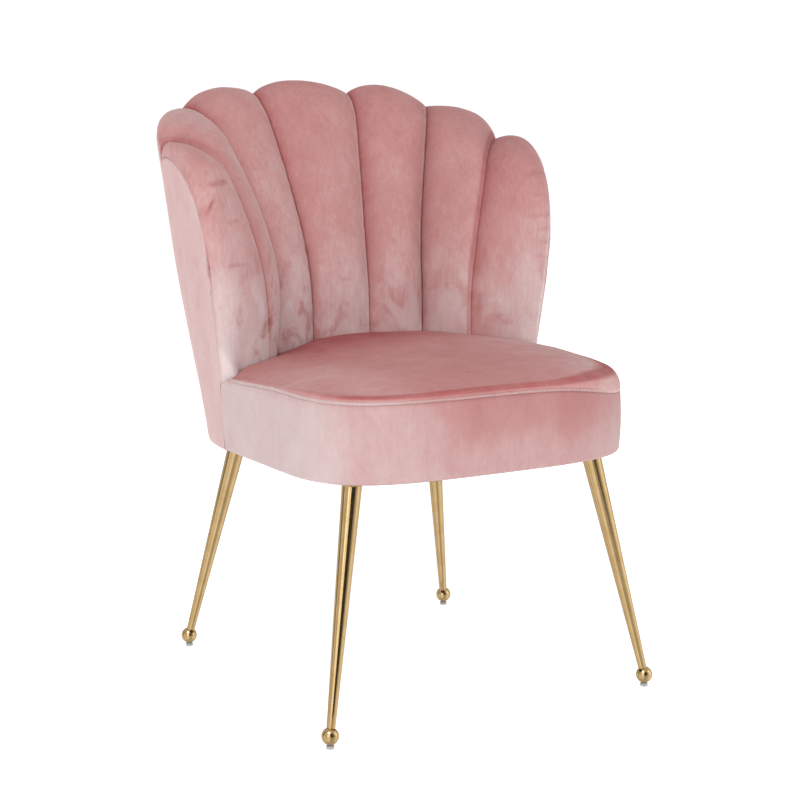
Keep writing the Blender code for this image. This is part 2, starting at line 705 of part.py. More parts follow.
def make_webbing():
    bottom_z = RAIL_TOP_Z + GAP
    for number, x in enumerate(WEBBING_LONG_X, 1):
        front_y = front_rail_y(x)
        rear_y = rear_rail_y(x)
        outline = ((x - WEBBING_WIDTH / 2, front_y), (x + WEBBING_WIDTH / 2, front_y),
                   (x + WEBBING_WIDTH / 2, rear_y), (x - WEBBING_WIDTH / 2, rear_y))
        name = f"webbing_long_{number}"
        add_object(name, prism(name, outline, bottom_z, bottom_z + WEBBING), "webbing")
    for number, y in enumerate(WEBBING_CROSS_Y, 1):
        name = f"webbing_cross_{number}"
        reach = SEAT_HALF_WIDTH - RAIL_OUTSIDE - WEBBING_SIDE
        sections = []
        for step in range(WEBBING_STEPS + 1):
            x = -reach + 2 * reach * step / WEBBING_STEPS
            lift = (WEBBING + GAP) * smoothstep((reach - 0.022 - abs(x)) / 0.05)
            low = bottom_z + lift
            sections.append([(x, y - WEBBING_WIDTH / 2, low), (x, y + WEBBING_WIDTH / 2, low),
                             (x, y + WEBBING_WIDTH / 2, low + WEBBING), (x, y - WEBBING_WIDTH / 2, low + WEBBING)])
        add_object(name, loft(name, sections), "webbing")


def front_rail_y(x):
    reach = abs(x) + WEBBING_WIDTH / 2
    width, depth = SEAT_HALF_WIDTH - RAIL_OUTSIDE, SEAT_FRONT_DEPTH - RAIL_OUTSIDE
    power = SEAT_FRONT_POWER
    return SEAT_FRONT_CENTRE_Y - depth * (1 - (reach / width) ** power) ** (1 / power) + WEBBING_ON_RAIL


def rear_rail_y(x):
    reach = abs(x) + WEBBING_WIDTH / 2
    edge_y = SHELL_EDGE[0][1]
    width, depth = SEAT_HALF_WIDTH - RAIL_OUTSIDE, REAR_Y - edge_y - RAIL_OUTSIDE
    power = SHELL_POWER_LOW
    return edge_y + depth * (1 - (reach / width) ** power) ** (1 / power) - WEBBING_ON_RAIL


def make_dust_cover():
    right = ring_half(DUST_COVER_INSET)
    outline = right + mirrored(right)[1:-1]
    top_z = SEAT_BOTTOM_Z - GAP
    sheet = add_object("dust_cover", prism("dust_cover", outline, top_z - DUST_COVER, top_z), "dust_cloth")
    for end, spots in SCREW_SPOTS.items():
        for sign in (-1, 1):
            for number, (x, y) in enumerate(spots, 1):
                side = "right" if sign > 0 else "left"
                cut(sheet, screw_hole(f"dust_hole_{end}_{side}_{number}", sign * x, y))


def make_seat():
    make_seat_band()
    make_seat_top_cover()
    make_seat_foam()
    make_seat_rails()
    make_corner_blocks()
    make_webbing()
    make_dust_cover()


# ---------------------------------------------------------------- legs
def leg_points(end, sign):
    foot = Vector((sign * LEG_FOOT[end][0], LEG_FOOT[end][1], BALL_Z))
    aim = Vector((sign * LEG_AIM[end][0], LEG_AIM[end][1], LEG_AIM_Z))
    return foot, (aim - foot).normalized()


def make_leg_tube(name, end, sign):
    """A tapered tube, square to its axis at the foot and level at the top, with its welded plate."""
    foot, axis = leg_points(end, sign)
    start = sqrt(BALL_RADIUS ** 2 - (LEG_END_RADIUS - LEG_WALL) ** 2) + 0.0003
    full = (PLATE_TOP_Z - BALL_Z) / axis.z
    aside = axis.cross(Vector((0, 1, 0))).normalized()
    ahead = axis.cross(aside).normalized()
    plate_inside_z = PLATE_TOP_Z - PLATE * 0.6

    def tube_point(angle, reach, wall):
        radius = LEG_END_RADIUS + (LEG_TOP_RADIUS - LEG_END_RADIUS) * reach / full - wall
        return foot + axis * reach + (aside * cos(angle) + ahead * sin(angle)) * radius

    def level_point(angle, wall):
        point = tube_point(angle, full, wall)
        reach = full + (plate_inside_z - point.z) / axis.z
        return tube_point(angle, reach, wall)

    sections = []
    for step in range(16):
        angle = 2 * pi * step / 16
        sections.append([tube_point(angle, start, 0.0), level_point(angle, 0.0),
                         level_point(angle, LEG_WALL), tube_point(angle, start, LEG_WALL)])
    tube = add_object(name, loft(name, sections, closed=True, smooth_angle=40), "gold")
    plate = leg_plate(f"{name}_plate", end, sign)
    cut(tube, plate, "UNION")
    for number, (x, y) in enumerate(SCREW_SPOTS[end], 1):
        cut(tube, screw_hole(f"{name}_hole_{number}", sign * x, y))


def leg_plate(name, end, sign):
    """A plate with rounded corners."""
    width, depth = PLATE_SIZE
    corner = PLATE_CORNER
    outline = []
    for quarter, (right, up) in enumerate(((1, 1), (-1, 1), (-1, -1), (1, -1))):
        for step in range(4):
            angle = quarter * pi / 2 + step * pi / 6
            outline.append((right * (width / 2 - corner) + corner * cos(angle) + sign * PLATE_CENTRE[end][0],
                            up * (depth / 2 - corner) + corner * sin(angle) + PLATE_CENTRE[end][1]))
    return add_object(name, prism(name, outline, PLATE_TOP_Z - PLATE, PLATE_TOP_Z), "gold")


def make_ball_foot(name, end, sign):
    """A ball with a spigot up into the tube and a blind bore for the glide's stud."""
    foot, axis = leg_points(end, sign)
    bm = bmesh.new()
    bmesh.ops.create_uvsphere(bm, u_segments=16, v_segments=9, radius=BALL_RADIUS)
    bmesh.ops.transform(bm, matrix=Matrix.Rotation(radians(10), 4, "Z"), verts=bm.verts)
    ball = add_object(name, finish_mesh(name, bm, 60), "gold")
    ball.location = foot
    spigot_mesh = turned_on_axis(f"{name}_spigot", ((SPIGOT_RADIUS, 0.002), (SPIGOT_RADIUS, 0.022)), 12)
    spigot_mesh.transform(axis.to_track_quat("Z", "Y").to_matrix().to_4x4())
    spigot = add_object(f"{name}_spigot", spigot_mesh, "gold")
    spigot.location = foot
    cut(ball, spigot, "UNION")
    bore_radius = GLIDE_STUD_RADIUS + 0.0004
    bore_top = GLIDE_STUD_TOP - BALL_Z + 0.0010
    bore = add_object(f"{name}_bore", turned_on_axis(f"{name}_bore", ((bore_radius, -0.020),
                                                                    (bore_radius, bore_top)), 14), "gold")
    bore.location = foot
    cut(ball, bore)


def make_glide(name, end, sign):
    """A levelling glide: a round pad on a stud that runs up into the ball."""
    profile = ((GLIDE_RADIUS - 0.0006, 0.0), (GLIDE_RADIUS, 0.0008), (GLIDE_RADIUS, GLIDE_PAD - 0.0006),
               (GLIDE_RADIUS - 0.0006, GLIDE_PAD), (GLIDE_STUD_RADIUS, GLIDE_PAD),
               (GLIDE_STUD_RADIUS, GLIDE_STUD_TOP))
    glide = add_object(name, turned_on_axis(name, profile, 14), "glide_plastic")
    glide.location = (sign * LEG_FOOT[end][0], LEG_FOOT[end][1], 0.0)


def make_screw(name, x, y):
    """A pan-head screw, its head under the leg's plate."""
    head_z = -SCREW_HEAD - GAP
    profile = ((SCREW_HEAD_RADIUS * 0.6, head_z), (SCREW_HEAD_RADIUS, head_z + SCREW_HEAD * 0.6),
               (SCREW_HEAD_RADIUS, -GAP), (SCREW_RADIUS, -GAP), (SCREW_RADIUS, SCREW_TIP_Z - PLATE_TOP_Z + PLATE))
    screw = add_object(name, turned_on_axis(name, profile, 9), "zinc")
    screw.location = (x, y, PLATE_TOP_Z - PLATE)


def make_legs():
    for end in ("front", "rear"):
        for side, sign in (("left", -1), ("right", 1)):
            make_leg_tube(f"leg_{end}_{side}", end, sign)
            make_ball_foot(f"ball_foot_{end}_{side}", end, sign)
            make_glide(f"glide_{end}_{side}", end, sign)
            for number, (x, y) in enumerate(SCREW_SPOTS[end], 1):
                make_screw(f"leg_screw_{end}_{side}_{number}", sign * x, y)


clear_scene()
DATUM = bpy.data.objects.new("datum", None)
DATUM.location = (0.0, DATUM_Y, 0.0)
bpy.context.scene.collection.objects.link(DATUM)
make_back()
make_seat()
make_legs()
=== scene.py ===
"""Looks for the scallop-backed velvet armchair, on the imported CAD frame. Metres, +Z up, front at -Y."""
from math import cos, exp, pi, radians, sin, sqrt

import bmesh
import bpy
from mathutils import Matrix, Vector, noise


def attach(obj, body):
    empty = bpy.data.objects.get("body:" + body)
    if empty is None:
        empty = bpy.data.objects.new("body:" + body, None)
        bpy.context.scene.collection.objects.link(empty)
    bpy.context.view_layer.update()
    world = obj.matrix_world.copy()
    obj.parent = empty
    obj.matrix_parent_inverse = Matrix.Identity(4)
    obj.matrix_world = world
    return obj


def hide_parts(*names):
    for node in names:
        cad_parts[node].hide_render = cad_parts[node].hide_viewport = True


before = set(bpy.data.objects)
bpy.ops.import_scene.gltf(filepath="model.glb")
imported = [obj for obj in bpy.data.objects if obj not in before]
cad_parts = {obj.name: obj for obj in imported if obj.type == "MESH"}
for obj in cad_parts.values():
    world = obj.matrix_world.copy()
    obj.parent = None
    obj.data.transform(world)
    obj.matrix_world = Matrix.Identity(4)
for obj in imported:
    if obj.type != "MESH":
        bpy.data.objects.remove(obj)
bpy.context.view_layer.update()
BODY = "chair"

# ------------------------------------------------------------------ dimensions shared with the CAD
DATUM_Y = -0.02887
SEAT_HALF_WIDTH = 0.2369
SEAT_FRONT_DEPTH = 0.1697
SEAT_FRONT_CENTRE_Y = -0.0805
SEAT_FRONT_POWER = 3.67
SEAT_BOTTOM_Z = 0.3185
SEAT_SEAM_Z = 0.4195
SEAT_CENTRE_Y = -0.030
SIDE_FLARE = 0.114
REAR_LEAN = 0.105
REAR_Y = 0.262
SHELL_POWER_LOW = 2.2
SHELL_POWER_HIGH = 3.12
SHELL_POWER_RISE = (0.30, 0.28)
SHELL_EDGE = ((0.3185, 0.0555), (0.38, 0.048), (0.46, 0.040), (0.54, 0.036), (0.66, 0.041), (0.74, 0.050))
CHANNEL_SEAMS = (
    ((0.38, 0.0455, 0.167), (0.50, 0.046, 0.170), (0.58, 0.0495, 0.187), (0.66, 0.0585, 0.2142),
     (0.74, 0.0695, 0.247), (0.80, 0.0785, 0.275)),
    ((0.38, 0.1205, 0.146), (0.50, 0.121, 0.147), (0.58, 0.127, 0.160), (0.66, 0.1455, 0.1845),
     (0.74, 0.170, 0.216), (0.80, 0.192, 0.246)),
    ((0.38, 0.160, 0.076), (0.50, 0.1605, 0.078), (0.58, 0.1725, 0.083), (0.66, 0.197, 0.1025),
     (0.72, 0.223, 0.131), (0.80, 0.262, 0.170)),
)
SEAM_BEARINGS = (radians(16.5), radians(41.5), radians(63.5), radians(90))
SEAM_CRESTS = (0.7787, 0.7603, 0.7141)
SEAM_AWAY = ((0.16, 0.99), (0.655, 0.83), (0.74, 0.72))
CREST_SHARES = (0.52, 0.60, 0.80, 0.85)
EDGE_CREST_Z = 0.56
EDGE_AWAY = 1.77
SCALLOP_RISE = 0.0205
CORNER_RISE = 0.010
CORNER_POWER = 3.1
CREST_SKEW = (0.0, 0.42, 0.24, 0.20, 0.18, -0.45, 0.0)
SHOULDER_POWERS = (2.0, 6.0, 2.0, 2.0, 2.0, 3.0, 2.0)
CHANNEL_BULGE = 0.016
ROLL_HEIGHT = 0.042
CHANNELS = 7
MIDDLE = CHANNELS // 2
LEG_FOOT = {"front": (0.2384, -0.2368), "rear": (0.2137, 0.2368)}
LEG_AIM = {"front": (0.1824, -0.1903), "rear": (0.1587, 0.1820)}
LEG_AIM_Z = 0.30
BALL_RADIUS = 0.011
BALL_Z = 0.016
LEG_TOP_RADIUS = 0.0128
LEG_END_RADIUS = 0.0053
PLATE = 0.0025
PLATE_TOP_Z = 0.3165
PLATE_SIZE = (0.056, 0.058)
PLATE_CENTRE = {"front": (0.168, -0.1765), "rear": (0.144, 0.1665)}
SCREW_SPOTS = {
    "front": ((0.155, -0.1995), (0.149, -0.158), (0.187, -0.156)),
    "rear": ((0.126, 0.1875), (0.126, 0.147), (0.163, 0.146)),
}
SCREW_HEAD_RADIUS = 0.0044
SCREW_HEAD = 0.0022
DUST_COVER_INSET = 0.008
GLIDE_RADIUS = 0.0049
GLIDE_PAD = 0.0046
GLIDE_STUD_RADIUS = 0.0025
GLIDE_STUD_TOP = 0.0160

# ------------------------------------------------------------------ shape of the padding
BULGE_POWER = 2.9              # higher makes the channels flatter in front and their seams sharper
LOW_BULGE = 0.45               # the channels are pulled flatter where they meet the seat
ARM_TOE = 0.019                # the arms' padding comes forward over the ends of the seat's lip
REAR_ROUNDING = 0.62           # less than one makes the rim squarer behind its crest
CLOTH = 0.0014                 # thickness of the velvet
CLOTH_ANGLE = 70               # sharper edges than this many degrees stay sharp in the cloth

# ------------------------------------------------------------------ camera
CAMERA_AT = (-1.279, -2.188 + DATUM_Y, 0.813)
SENSOR_WIDTH = 36.0
FOCAL_LENGTH = 85.66
CAMERA_YAW = radians(30.27)
CAMERA_PITCH = radians(9.82)


def make_camera():
    data = bpy.data.cameras.new("camera")
    data.sensor_width = SENSOR_WIDTH
    data.lens = FOCAL_LENGTH
    camera = bpy.data.objects.new("camera", data)
    camera.location = CAMERA_AT
    camera.rotation_euler = (pi / 2 - CAMERA_PITCH, 0.0, -CAMERA_YAW)
    bpy.context.scene.collection.objects.link(camera)
    bpy.context.scene.camera = camera


# ------------------------------------------------------------------ curves and surfaces
def smoothstep(value):
    share = min(max(value, 0.0), 1.0)
    return share * share * (3 - 2 * share)


def smooth_row(height, rows):
    """Values at a height, on a smooth curve through rows of (height, value, ...)."""
    last = len(rows) - 1
    index = 0
    while index < last - 1 and height > rows[index + 1][0]:
        index += 1
    low, high = rows[index], rows[index + 1]
    before, after = rows[max(index - 1, 0)], rows[min(index + 2, last)]
    span = high[0] - low[0]
    share = min(max((height - low[0]) / span, 0.0), 1.0)
    values = []
    for item in range(1, len(low)):
        start = (high[item] - before[item]) / (high[0] - before[0]) * span
        end = (after[item] - low[item]) / (after[0] - low[0]) * span
        square, cube = share ** 2, share ** 3
        values.append(low[item] * (2 * cube - 3 * square + 1) + start * (cube - 2 * square + share)
                      + high[item] * (3 * square - 2 * cube) + end * (cube - square))
    return values


def round_reach(bearing, width, depth, power):
    """How far out a rounded outline lies at a bearing: its depth at 0, its width at a right angle."""
    return ((abs(sin(bearing)) / width) ** power + (abs(cos(bearing)) / depth) ** power) ** (-1 / power)


def shell_half_width(z):
    """Half the shell's width at its front edges."""
    return SEAT_HALF_WIDTH + SIDE_FLARE * (z - SEAT_BOTTOM_Z)


def shell_edge_y(z):
    return smooth_row(z, SHELL_EDGE)[0]


def shell_point(bearing, z, inset=0.0):
    """A point on the shell's outer surface, at a bearing from straight back, moved in by inset."""
    edge_y = shell_edge_y(z)
    width = shell_half_width(z) - inset
    depth = REAR_Y + REAR_LEAN * (z - SEAT_BOTTOM_Z) - edge_y - inset
    start, span = SHELL_POWER_RISE
    power = SHELL_POWER_LOW + (SHELL_POWER_HIGH - SHELL_POWER_LOW) * smoothstep((z - start) / span)
    reach = round_reach(bearing, width, depth, power)
    return Vector((reach * sin(bearing), edge_y + reach * cos(bearing)))


def channel_bound(index, z, inset=0.0):
    """Where bound 0 to 7 between the channels lies at a height, its bearing and its crest share."""
    side = -1 if index <= MIDDLE else 1
    seam = MIDDLE - index if index <= MIDDLE else index - MIDDLE - 1
    if seam == len(CHANNEL_SEAMS):
        x, y = shell_half_width(z) - inset, shell_edge_y(z) + EDGE_AWAY * inset
    else:
        x, y = smooth_row(z, CHANNEL_SEAMS[seam])
        x += SEAM_AWAY[seam][0] * inset
        y += SEAM_AWAY[seam][1] * inset
    return Vector((side * x, y)), side * SEAM_BEARINGS[seam], CREST_SHARES[seam]


def arch(share, power=2.0):
    return max(1 - abs(2 * share - 1) ** power, 0.0) ** 0.78


def crest_height(channel, share):
    """Height of the scalloped rim, each scallop a little higher at one side."""
    skew = SCALLOP_RISE * arch(share) * CREST_SKEW[channel] * (1 - 2 * share)
    shoulder = SHOULDER_POWERS[channel]
    if channel > MIDDLE:
        return even_crest(CHANNELS - 1 - channel, 1 - share, shoulder) + skew
    return even_crest(channel, share, shoulder) + skew


def even_crest(channel, share, shoulder):
    """The rim's height for a channel of the left half, its share from the outer side."""
    if channel == 0:
        out = 1 - share
        corner = sqrt(max(1 - out ** CORNER_POWER, 0.0))
        height = EDGE_CREST_Z + (SEAM_CRESTS[2] - EDGE_CREST_Z) * corner
        return height + CORNER_RISE * arch(out) * share ** 0.3
    heights = (0.0, SEAM_CRESTS[2], SEAM_CRESTS[1], SEAM_CRESTS[0], SEAM_CRESTS[0])
    low, high = heights[channel], heights[channel + 1]
    return low + (high - low) * share + SCALLOP_RISE * arch(share, shoulder if share < 0.5 else 2.0)


def arm_toe(share, z):
    """How far the arm's padding comes forward low down, at a share from its front edge."""
    low = 1 - smoothstep((z - 0.415) / 0.050)
    return ARM_TOE * low * smoothstep(share / 0.07) * (1 - smoothstep((share - 0.06) / 0.30))


def channel_point(channel, share, z, bulge, inset=0.0):
    """A point on a channel's front, its bearing on the shell, its crest share and the way forward."""
    left, left_bearing, left_crest = channel_bound(channel, z, inset)
    right, right_bearing, right_crest = channel_bound(channel + 1, z, inset)
    across = right - left
    forward = Vector((across.y, -across.x)).normalized()
    tight = LOW_BULGE + (1 - LOW_BULGE) * smoothstep((z - 0.42) / 0.12)
    swell = bulge * tight * (1 - abs(2 * share - 1) ** BULGE_POWER)
    if bulge and channel in (0, CHANNELS - 1):
        swell += arm_toe(share if channel == 0 else 1 - share, z)
    return (left + across * share + forward * swell,
            left_bearing + (right_bearing - left_bearing) * share,
            left_crest + (right_crest - left_crest) * share, forward)


def roll_height(channel, share):
    """Height of the rolled rim, less where the back is thin."""
    z = crest_height(channel, share) - 0.03
    front, bearing, *_ = channel_point(channel, share, z, CHANNEL_BULGE)
    thickness = (shell_point(bearing, z) - front).length
    return min(ROLL_HEIGHT, 0.75 * thickness)


def roll_point(channel, share, angle, bulge=CHANNEL_BULGE, inset=0.0):
    """A point of the rolled rim: angle 0 at its front, pi at the shell's rear."""
    height = roll_height(channel, share)
    rise = sin(angle) if angle < pi / 2 else max(sin(angle), 0.0) ** REAR_ROUNDING
    z = crest_height(channel, share) - height + (height - inset) * rise
    front, bearing, crest_share, _ = channel_point(channel, share, z, bulge, inset)
    rear = shell_point(bearing, z, inset)
    if angle < pi / 2:
        depth = crest_share * (1 - cos(angle))
    else:
        depth = crest_share - (1 - crest_share) * cos(angle)
    point = front + (rear - front) * depth
    return Vector((point.x, point.y, z))


def seat_front_point(angle, inset=0.0):
    """A point of the seat's rounded front, from angle 0 straight ahead to a right angle at its side."""
    reach = round_reach(angle, SEAT_HALF_WIDTH - inset, SEAT_FRONT_DEPTH - inset, SEAT_FRONT_POWER)
    return reach * sin(angle), SEAT_FRONT_CENTRE_Y - reach * cos(angle)


def seat_side_x(y, z, inset):
    """The seat's half width at its straight sides, flaring to meet the shell."""
    flare = (shell_half_width(z) - SEAT_HALF_WIDTH) * smoothstep((y + 0.12) / 0.165)
    return SEAT_HALF_WIDTH + flare - inset


# ------------------------------------------------------------------ mesh helpers
def new_item(name, bm, material):
    mesh = bpy.data.meshes.new(name)
    bm.to_mesh(mesh)
    bm.free()
    mesh.shade_smooth()
    mesh.materials.append(material)
    item = bpy.data.objects.new(name, mesh)
    bpy.context.scene.collection.objects.link(item)
    return item


def place(name, bm, material, smooth_angle=None, body=BODY):
    """A piece of the chair, shaped about the CAD's datum, riding a body of the frame."""
    bmesh.ops.recalc_face_normals(bm, faces=bm.faces)
    bm.transform(Matrix.Translation((0.0, DATUM_Y, 0.0)))
    item = new_item(name, bm, material)
    if smooth_angle:
        item.data.set_sharp_from_angle(angle=radians(smooth_angle))
    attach(item, body)
    return item


def solidify(item, thickness, offset):
    thick = item.modifiers.new("thickness", "SOLIDIFY")
    thick.thickness = thickness
    thick.offset = offset


def skin(bm, rows, closed_columns=False):
    """Quads over a grid of points; returns the grid of vertices."""
    verts = [[bm.verts.new(point) for point in row] for row in rows]
    count = len(verts[0])
    for a, b in zip(verts, verts[1:]):
        for column in range(count if closed_columns else count - 1):
            after = (column + 1) % count
            bm.faces.new((a[column], a[after], b[after], b[column]))
    return verts


def bridge(bm, near, far):
    """Quads between two rows of vertices."""
    for index in range(len(near) - 1):
        bm.faces.new((near[index], near[index + 1], far[index + 1], far[index]))


def solid_rows(bm, rows):
    """A closed body through closed rings, with flat ends."""
    verts = skin(bm, rows, closed_columns=True)
    bm.faces.new(verts[0])
    bm.faces.new(verts[-1][::-1])


def circle(x, y, z, radius, segments):
    return [(x + radius * cos(2 * pi * step / segments), y + radius * sin(2 * pi * step / segments), z)
            for step in range(segments)]


def new_cloth():
    """An empty mesh whose vertices keep a tone of painted light and shade with the nap, and how far the nap
    is crushed.
    """
    bm = bmesh.new()
    for name in ("nap_and_painted_light", "crush"):
        bm.verts.layers.float.new(name)
    return bm


def store(bm, name, verts, values):
    """Keep a number at each vertex, for the material to read; one number may serve them all."""
    layer = bm.verts.layers.float[name]
    for index, row in enumerate(verts):
        for column, vert in enumerate(row):
            vert[layer] = values if isinstance(values, float) else values[index][column]


# ------------------------------------------------------------------ materials
class Nodes:
    """A small wrapper for building a material's node tree."""

    def __init__(self, name):
        self.material = bpy.data.materials.new(name)
        self.material.use_nodes = True
        self.tree = self.material.node_tree
        self.shader = self.tree.nodes["Principled BSDF"]

    def add(self, kind, **settings):
        node = self.tree.nodes.new(kind)
        for key, value in settings.items():
            if key in node.inputs:
                node.inputs[key].default_value = value
            else:
                setattr(node, key, value)
        return node

    def link(self, source, target):
        self.tree.links.new(source, target)

    def feed(self, source, name):
        """Links a value to one of the shader's own sockets."""
        self.link(source, self.shader.inputs[name])

    def set(self, **values):
        for key, value in values.items():
            self.shader.inputs[key.replace("_", " ")].default_value = value

    def place(self, scale=(1.0, 1.0, 1.0), turn=0.0):
        coords = self.add("ShaderNodeTexCoord")
        mapping = self.add("ShaderNodeMapping", Scale=scale, Rotation=(0.0, 0.0, turn))
        self.link(coords.outputs["Object"], mapping.inputs["Vector"])
        return mapping.outputs["Vector"]

    def noise(self, scale, detail=3.0, roughness=0.55, distortion=0.0, stretch=(1.0, 1.0, 1.0), turn=0.0):
        node = self.add("ShaderNodeTexNoise", Scale=scale, Detail=detail, Roughness=roughness,
                        Distortion=distortion)
        self.link(self.place(stretch, turn), node.inputs["Vector"])
        return node.outputs["Fac"]

    def kept(self, name):
        """A number stored at the mesh's vertices."""
        return self.add("ShaderNodeAttribute", attribute_name=name).outputs["Fac"]

    def spread(self, value, low, high, out_low=0.0, out_high=1.0):
        node = self.add("ShaderNodeMapRange", interpolation_type="SMOOTHSTEP")
        for key, number in (("From Min", low), ("From Max", high), ("To Min", out_low), ("To Max", out_high)):
            node.inputs[key].default_value = number
        self.link(value, node.inputs["Value"])
        return node.outputs["Result"]

    def math(self, operation, a, b):
        node = self.add("ShaderNodeMath", operation=operation)
        for index, item in enumerate((a, b)):
            if isinstance(item, (int, float)):
                node.inputs[index].default_value = item
            else:
                self.link(item, node.inputs[index])
        return node.outputs[0]

    def shift(self, total, value, amount):
        """Adds amount times value's distance from a half."""
        moved = self.math("SUBTRACT", value, 0.5)
        return self.math("ADD", total, self.math("MULTIPLY", moved, amount))

    def mix(self, factor, a, b):
        """A colour between a and b. A colour mix has its factor at input 0 and its colours at 6 and 7."""
        node = self.add("ShaderNodeMix", data_type="RGBA")
        for socket, item in ((node.inputs[0], factor), (node.inputs[6], a), (node.inputs[7], b)):
            if isinstance(item, (int, float)):
                socket.default_value = item
            elif isinstance(item, tuple):
                socket.default_value = (*item, 1.0)
            else:
                self.link(item, socket)
        return node.outputs[2]

    def bump(self, height, strength, distance, normal=None):
        node = self.add("ShaderNodeBump", Strength=strength, Distance=distance)
        self.link(height, node.inputs["Height"])
        if normal:
            self.link(normal, node.inputs["Normal"])
        return node.outputs["Normal"]


ROSE_DARK = (0.350, 0.098, 0.098)
ROSE = (0.508, 0.262, 0.252)
ROSE_PALE = (0.680, 0.575, 0.570)


def velvet(name, sheen, cloud=0.30, mottle=0.28, streak=0.20, brushed=(1.0, 1.0, 0.07), turn=0.0, painted_light_gain=1.0):
    """Short-pile velvet. The mesh keeps a tone (0 dark, 1 pale) that is mostly painted light and shade, with
    some nap, and how far the nap is crushed; the last argument makes one copy lighter or darker than the
    others: painted light.
    """
    nodes = Nodes(name)
    dark, rose, pale = (tuple(part * painted_light_gain for part in colour) for colour in (ROSE_DARK, ROSE, ROSE_PALE))
    tone = nodes.kept("nap_and_painted_light")
    tone = nodes.shift(tone, nodes.noise(9.0, 3.0, 0.55, 0.5, (1.0, 1.0, 0.6)), cloud)
    tone = nodes.shift(tone, nodes.noise(42.0, 4.0, 0.62, 0.3, (1.0, 1.0, 0.6)), mottle)
    fine = nodes.noise(170.0, 4.0, 0.7, 0.0, (1.0, 1.0, 0.55))
    tone = nodes.shift(tone, fine, mottle)
    tone = nodes.shift(tone, nodes.noise(260.0, 3.0, 0.6, 0.0, brushed, turn), streak)
    marks = nodes.noise(30.0, 3.0, 0.58, 0.8, (1.0, 1.0, 0.62))
    torn = nodes.math("ADD", marks, nodes.math("MULTIPLY", nodes.math("SUBTRACT", fine, 0.5), 0.35))
    crushed = nodes.math("MULTIPLY", nodes.kept("crush"), nodes.spread(torn, 0.52, 0.68, 0.0, 0.42))
    tone = nodes.math("SUBTRACT", tone, crushed)
    raised = nodes.math("MULTIPLY", nodes.kept("crush"), nodes.spread(torn, 0.46, 0.32, 0.0, 0.20))
    tone = nodes.math("ADD", tone, raised)
    pile = nodes.noise(1500.0, 2.0, 0.6)
    tone = nodes.shift(tone, pile, 0.20)
    colour = nodes.mix(nodes.math("MULTIPLY", tone, 2.0), dark, rose)
    pale_share = nodes.math("SUBTRACT", nodes.math("MULTIPLY", tone, 2.0), 1.0)
    colour = nodes.mix(pale_share, colour, pale)
    nodes.feed(colour, "Base Color")
    nodes.set(Roughness=0.88, Sheen_Weight=sheen, Sheen_Roughness=0.38, Sheen_Tint=(1.0, 0.82, 0.80, 1.0),
              Specular_IOR_Level=0.10)
    soft = nodes.bump(marks, 0.12, 0.0008)
    nodes.feed(nodes.bump(pile, 0.22, 0.0004, soft), "Normal")
    return nodes.material


def gold_metal():
    nodes = Nodes("gold_metal")
    smudge = nodes.noise(55.0, 4.0, 0.6)
    colour = nodes.mix(nodes.spread(smudge, 0.35, 0.7), (0.735, 0.515, 0.255), (0.665, 0.445, 0.205))
    nodes.feed(colour, "Base Color")
    brush = nodes.noise(900.0, 2.0, 0.5, 0.0, (1.0, 1.0, 0.03))
    rough = nodes.math("ADD", nodes.spread(smudge, 0.3, 0.7, 0.09, 0.15), nodes.math("MULTIPLY", brush, 0.03))
    nodes.feed(rough, "Roughness")
    nodes.set(Metallic=1.0)
    nodes.feed(nodes.bump(brush, 0.012, 0.0001), "Normal")
    return nodes.material


def grained(name, colour, roughness, grain, metallic=0.0, vary=0.25):
    """A quiet material with some variation and grain."""
    nodes = Nodes(name)
    value = nodes.noise(grain, 4.0, 0.6)
    darker = tuple(part * (1 - vary) for part in colour)
    nodes.feed(nodes.mix(nodes.spread(value, 0.3, 0.7), darker, colour), "Base Color")
    rough = nodes.spread(value, 0.2, 0.8, roughness * 0.85, min(roughness * 1.1, 1.0))
    nodes.feed(rough, "Roughness")
    nodes.set(Metallic=metallic)
    nodes.feed(nodes.bump(value, 0.15, 0.0004), "Normal")
    return nodes.material


def plywood():
    """Birch ply: pale and dark layers that lie level, with long grain."""
    nodes = Nodes("plywood")
    layers = nodes.add("ShaderNodeTexWave", bands_direction="Z", Scale=150.0, Distortion=0.6)
    layers.inputs["Detail Scale"].default_value = 2.0
    nodes.link(nodes.place(), layers.inputs["Vector"])
    grain = nodes.noise(90.0, 5.0, 0.65, 0.4, (0.08, 1.0, 1.0))
    colour = nodes.mix(nodes.spread(grain, 0.3, 0.7), (0.62, 0.44, 0.26), (0.74, 0.57, 0.37))
    colour = nodes.mix(nodes.spread(layers.outputs["Fac"], 0.35, 0.6, 0.35, 0.0), colour, (0.40, 0.25, 0.13))
    nodes.feed(colour, "Base Color")
    nodes.set(Roughness=0.72)
    nodes.feed(nodes.bump(grain, 0.2, 0.0004), "Normal")
    return nodes.material


def woven(name, dark, light, threads):
    """A plain weave of threads along X and Y, for the webbing and the dust cloth."""
    nodes = Nodes(name)
    waves = []
    for direction in ("X", "Y"):
        wave = nodes.add("ShaderNodeTexWave", bands_direction=direction, Scale=threads, Distortion=0.3)
        nodes.link(nodes.place(), wave.inputs["Vector"])
        waves.append(wave.outputs["Fac"])
    weave = nodes.math("MULTIPLY", waves[0], waves[1])
    fuzz = nodes.noise(420.0, 4.0, 0.7)
    value = nodes.math("ADD", nodes.math("MULTIPLY", weave, 0.6), nodes.math("MULTIPLY", fuzz, 0.5))
    nodes.feed(nodes.mix(nodes.spread(value, 0.2, 0.8), dark, light), "Base Color")
    nodes.set(Roughness=0.9, Sheen_Weight=0.2)
    nodes.feed(nodes.bump(value, 0.4, 0.0004), "Normal")
    return nodes.material


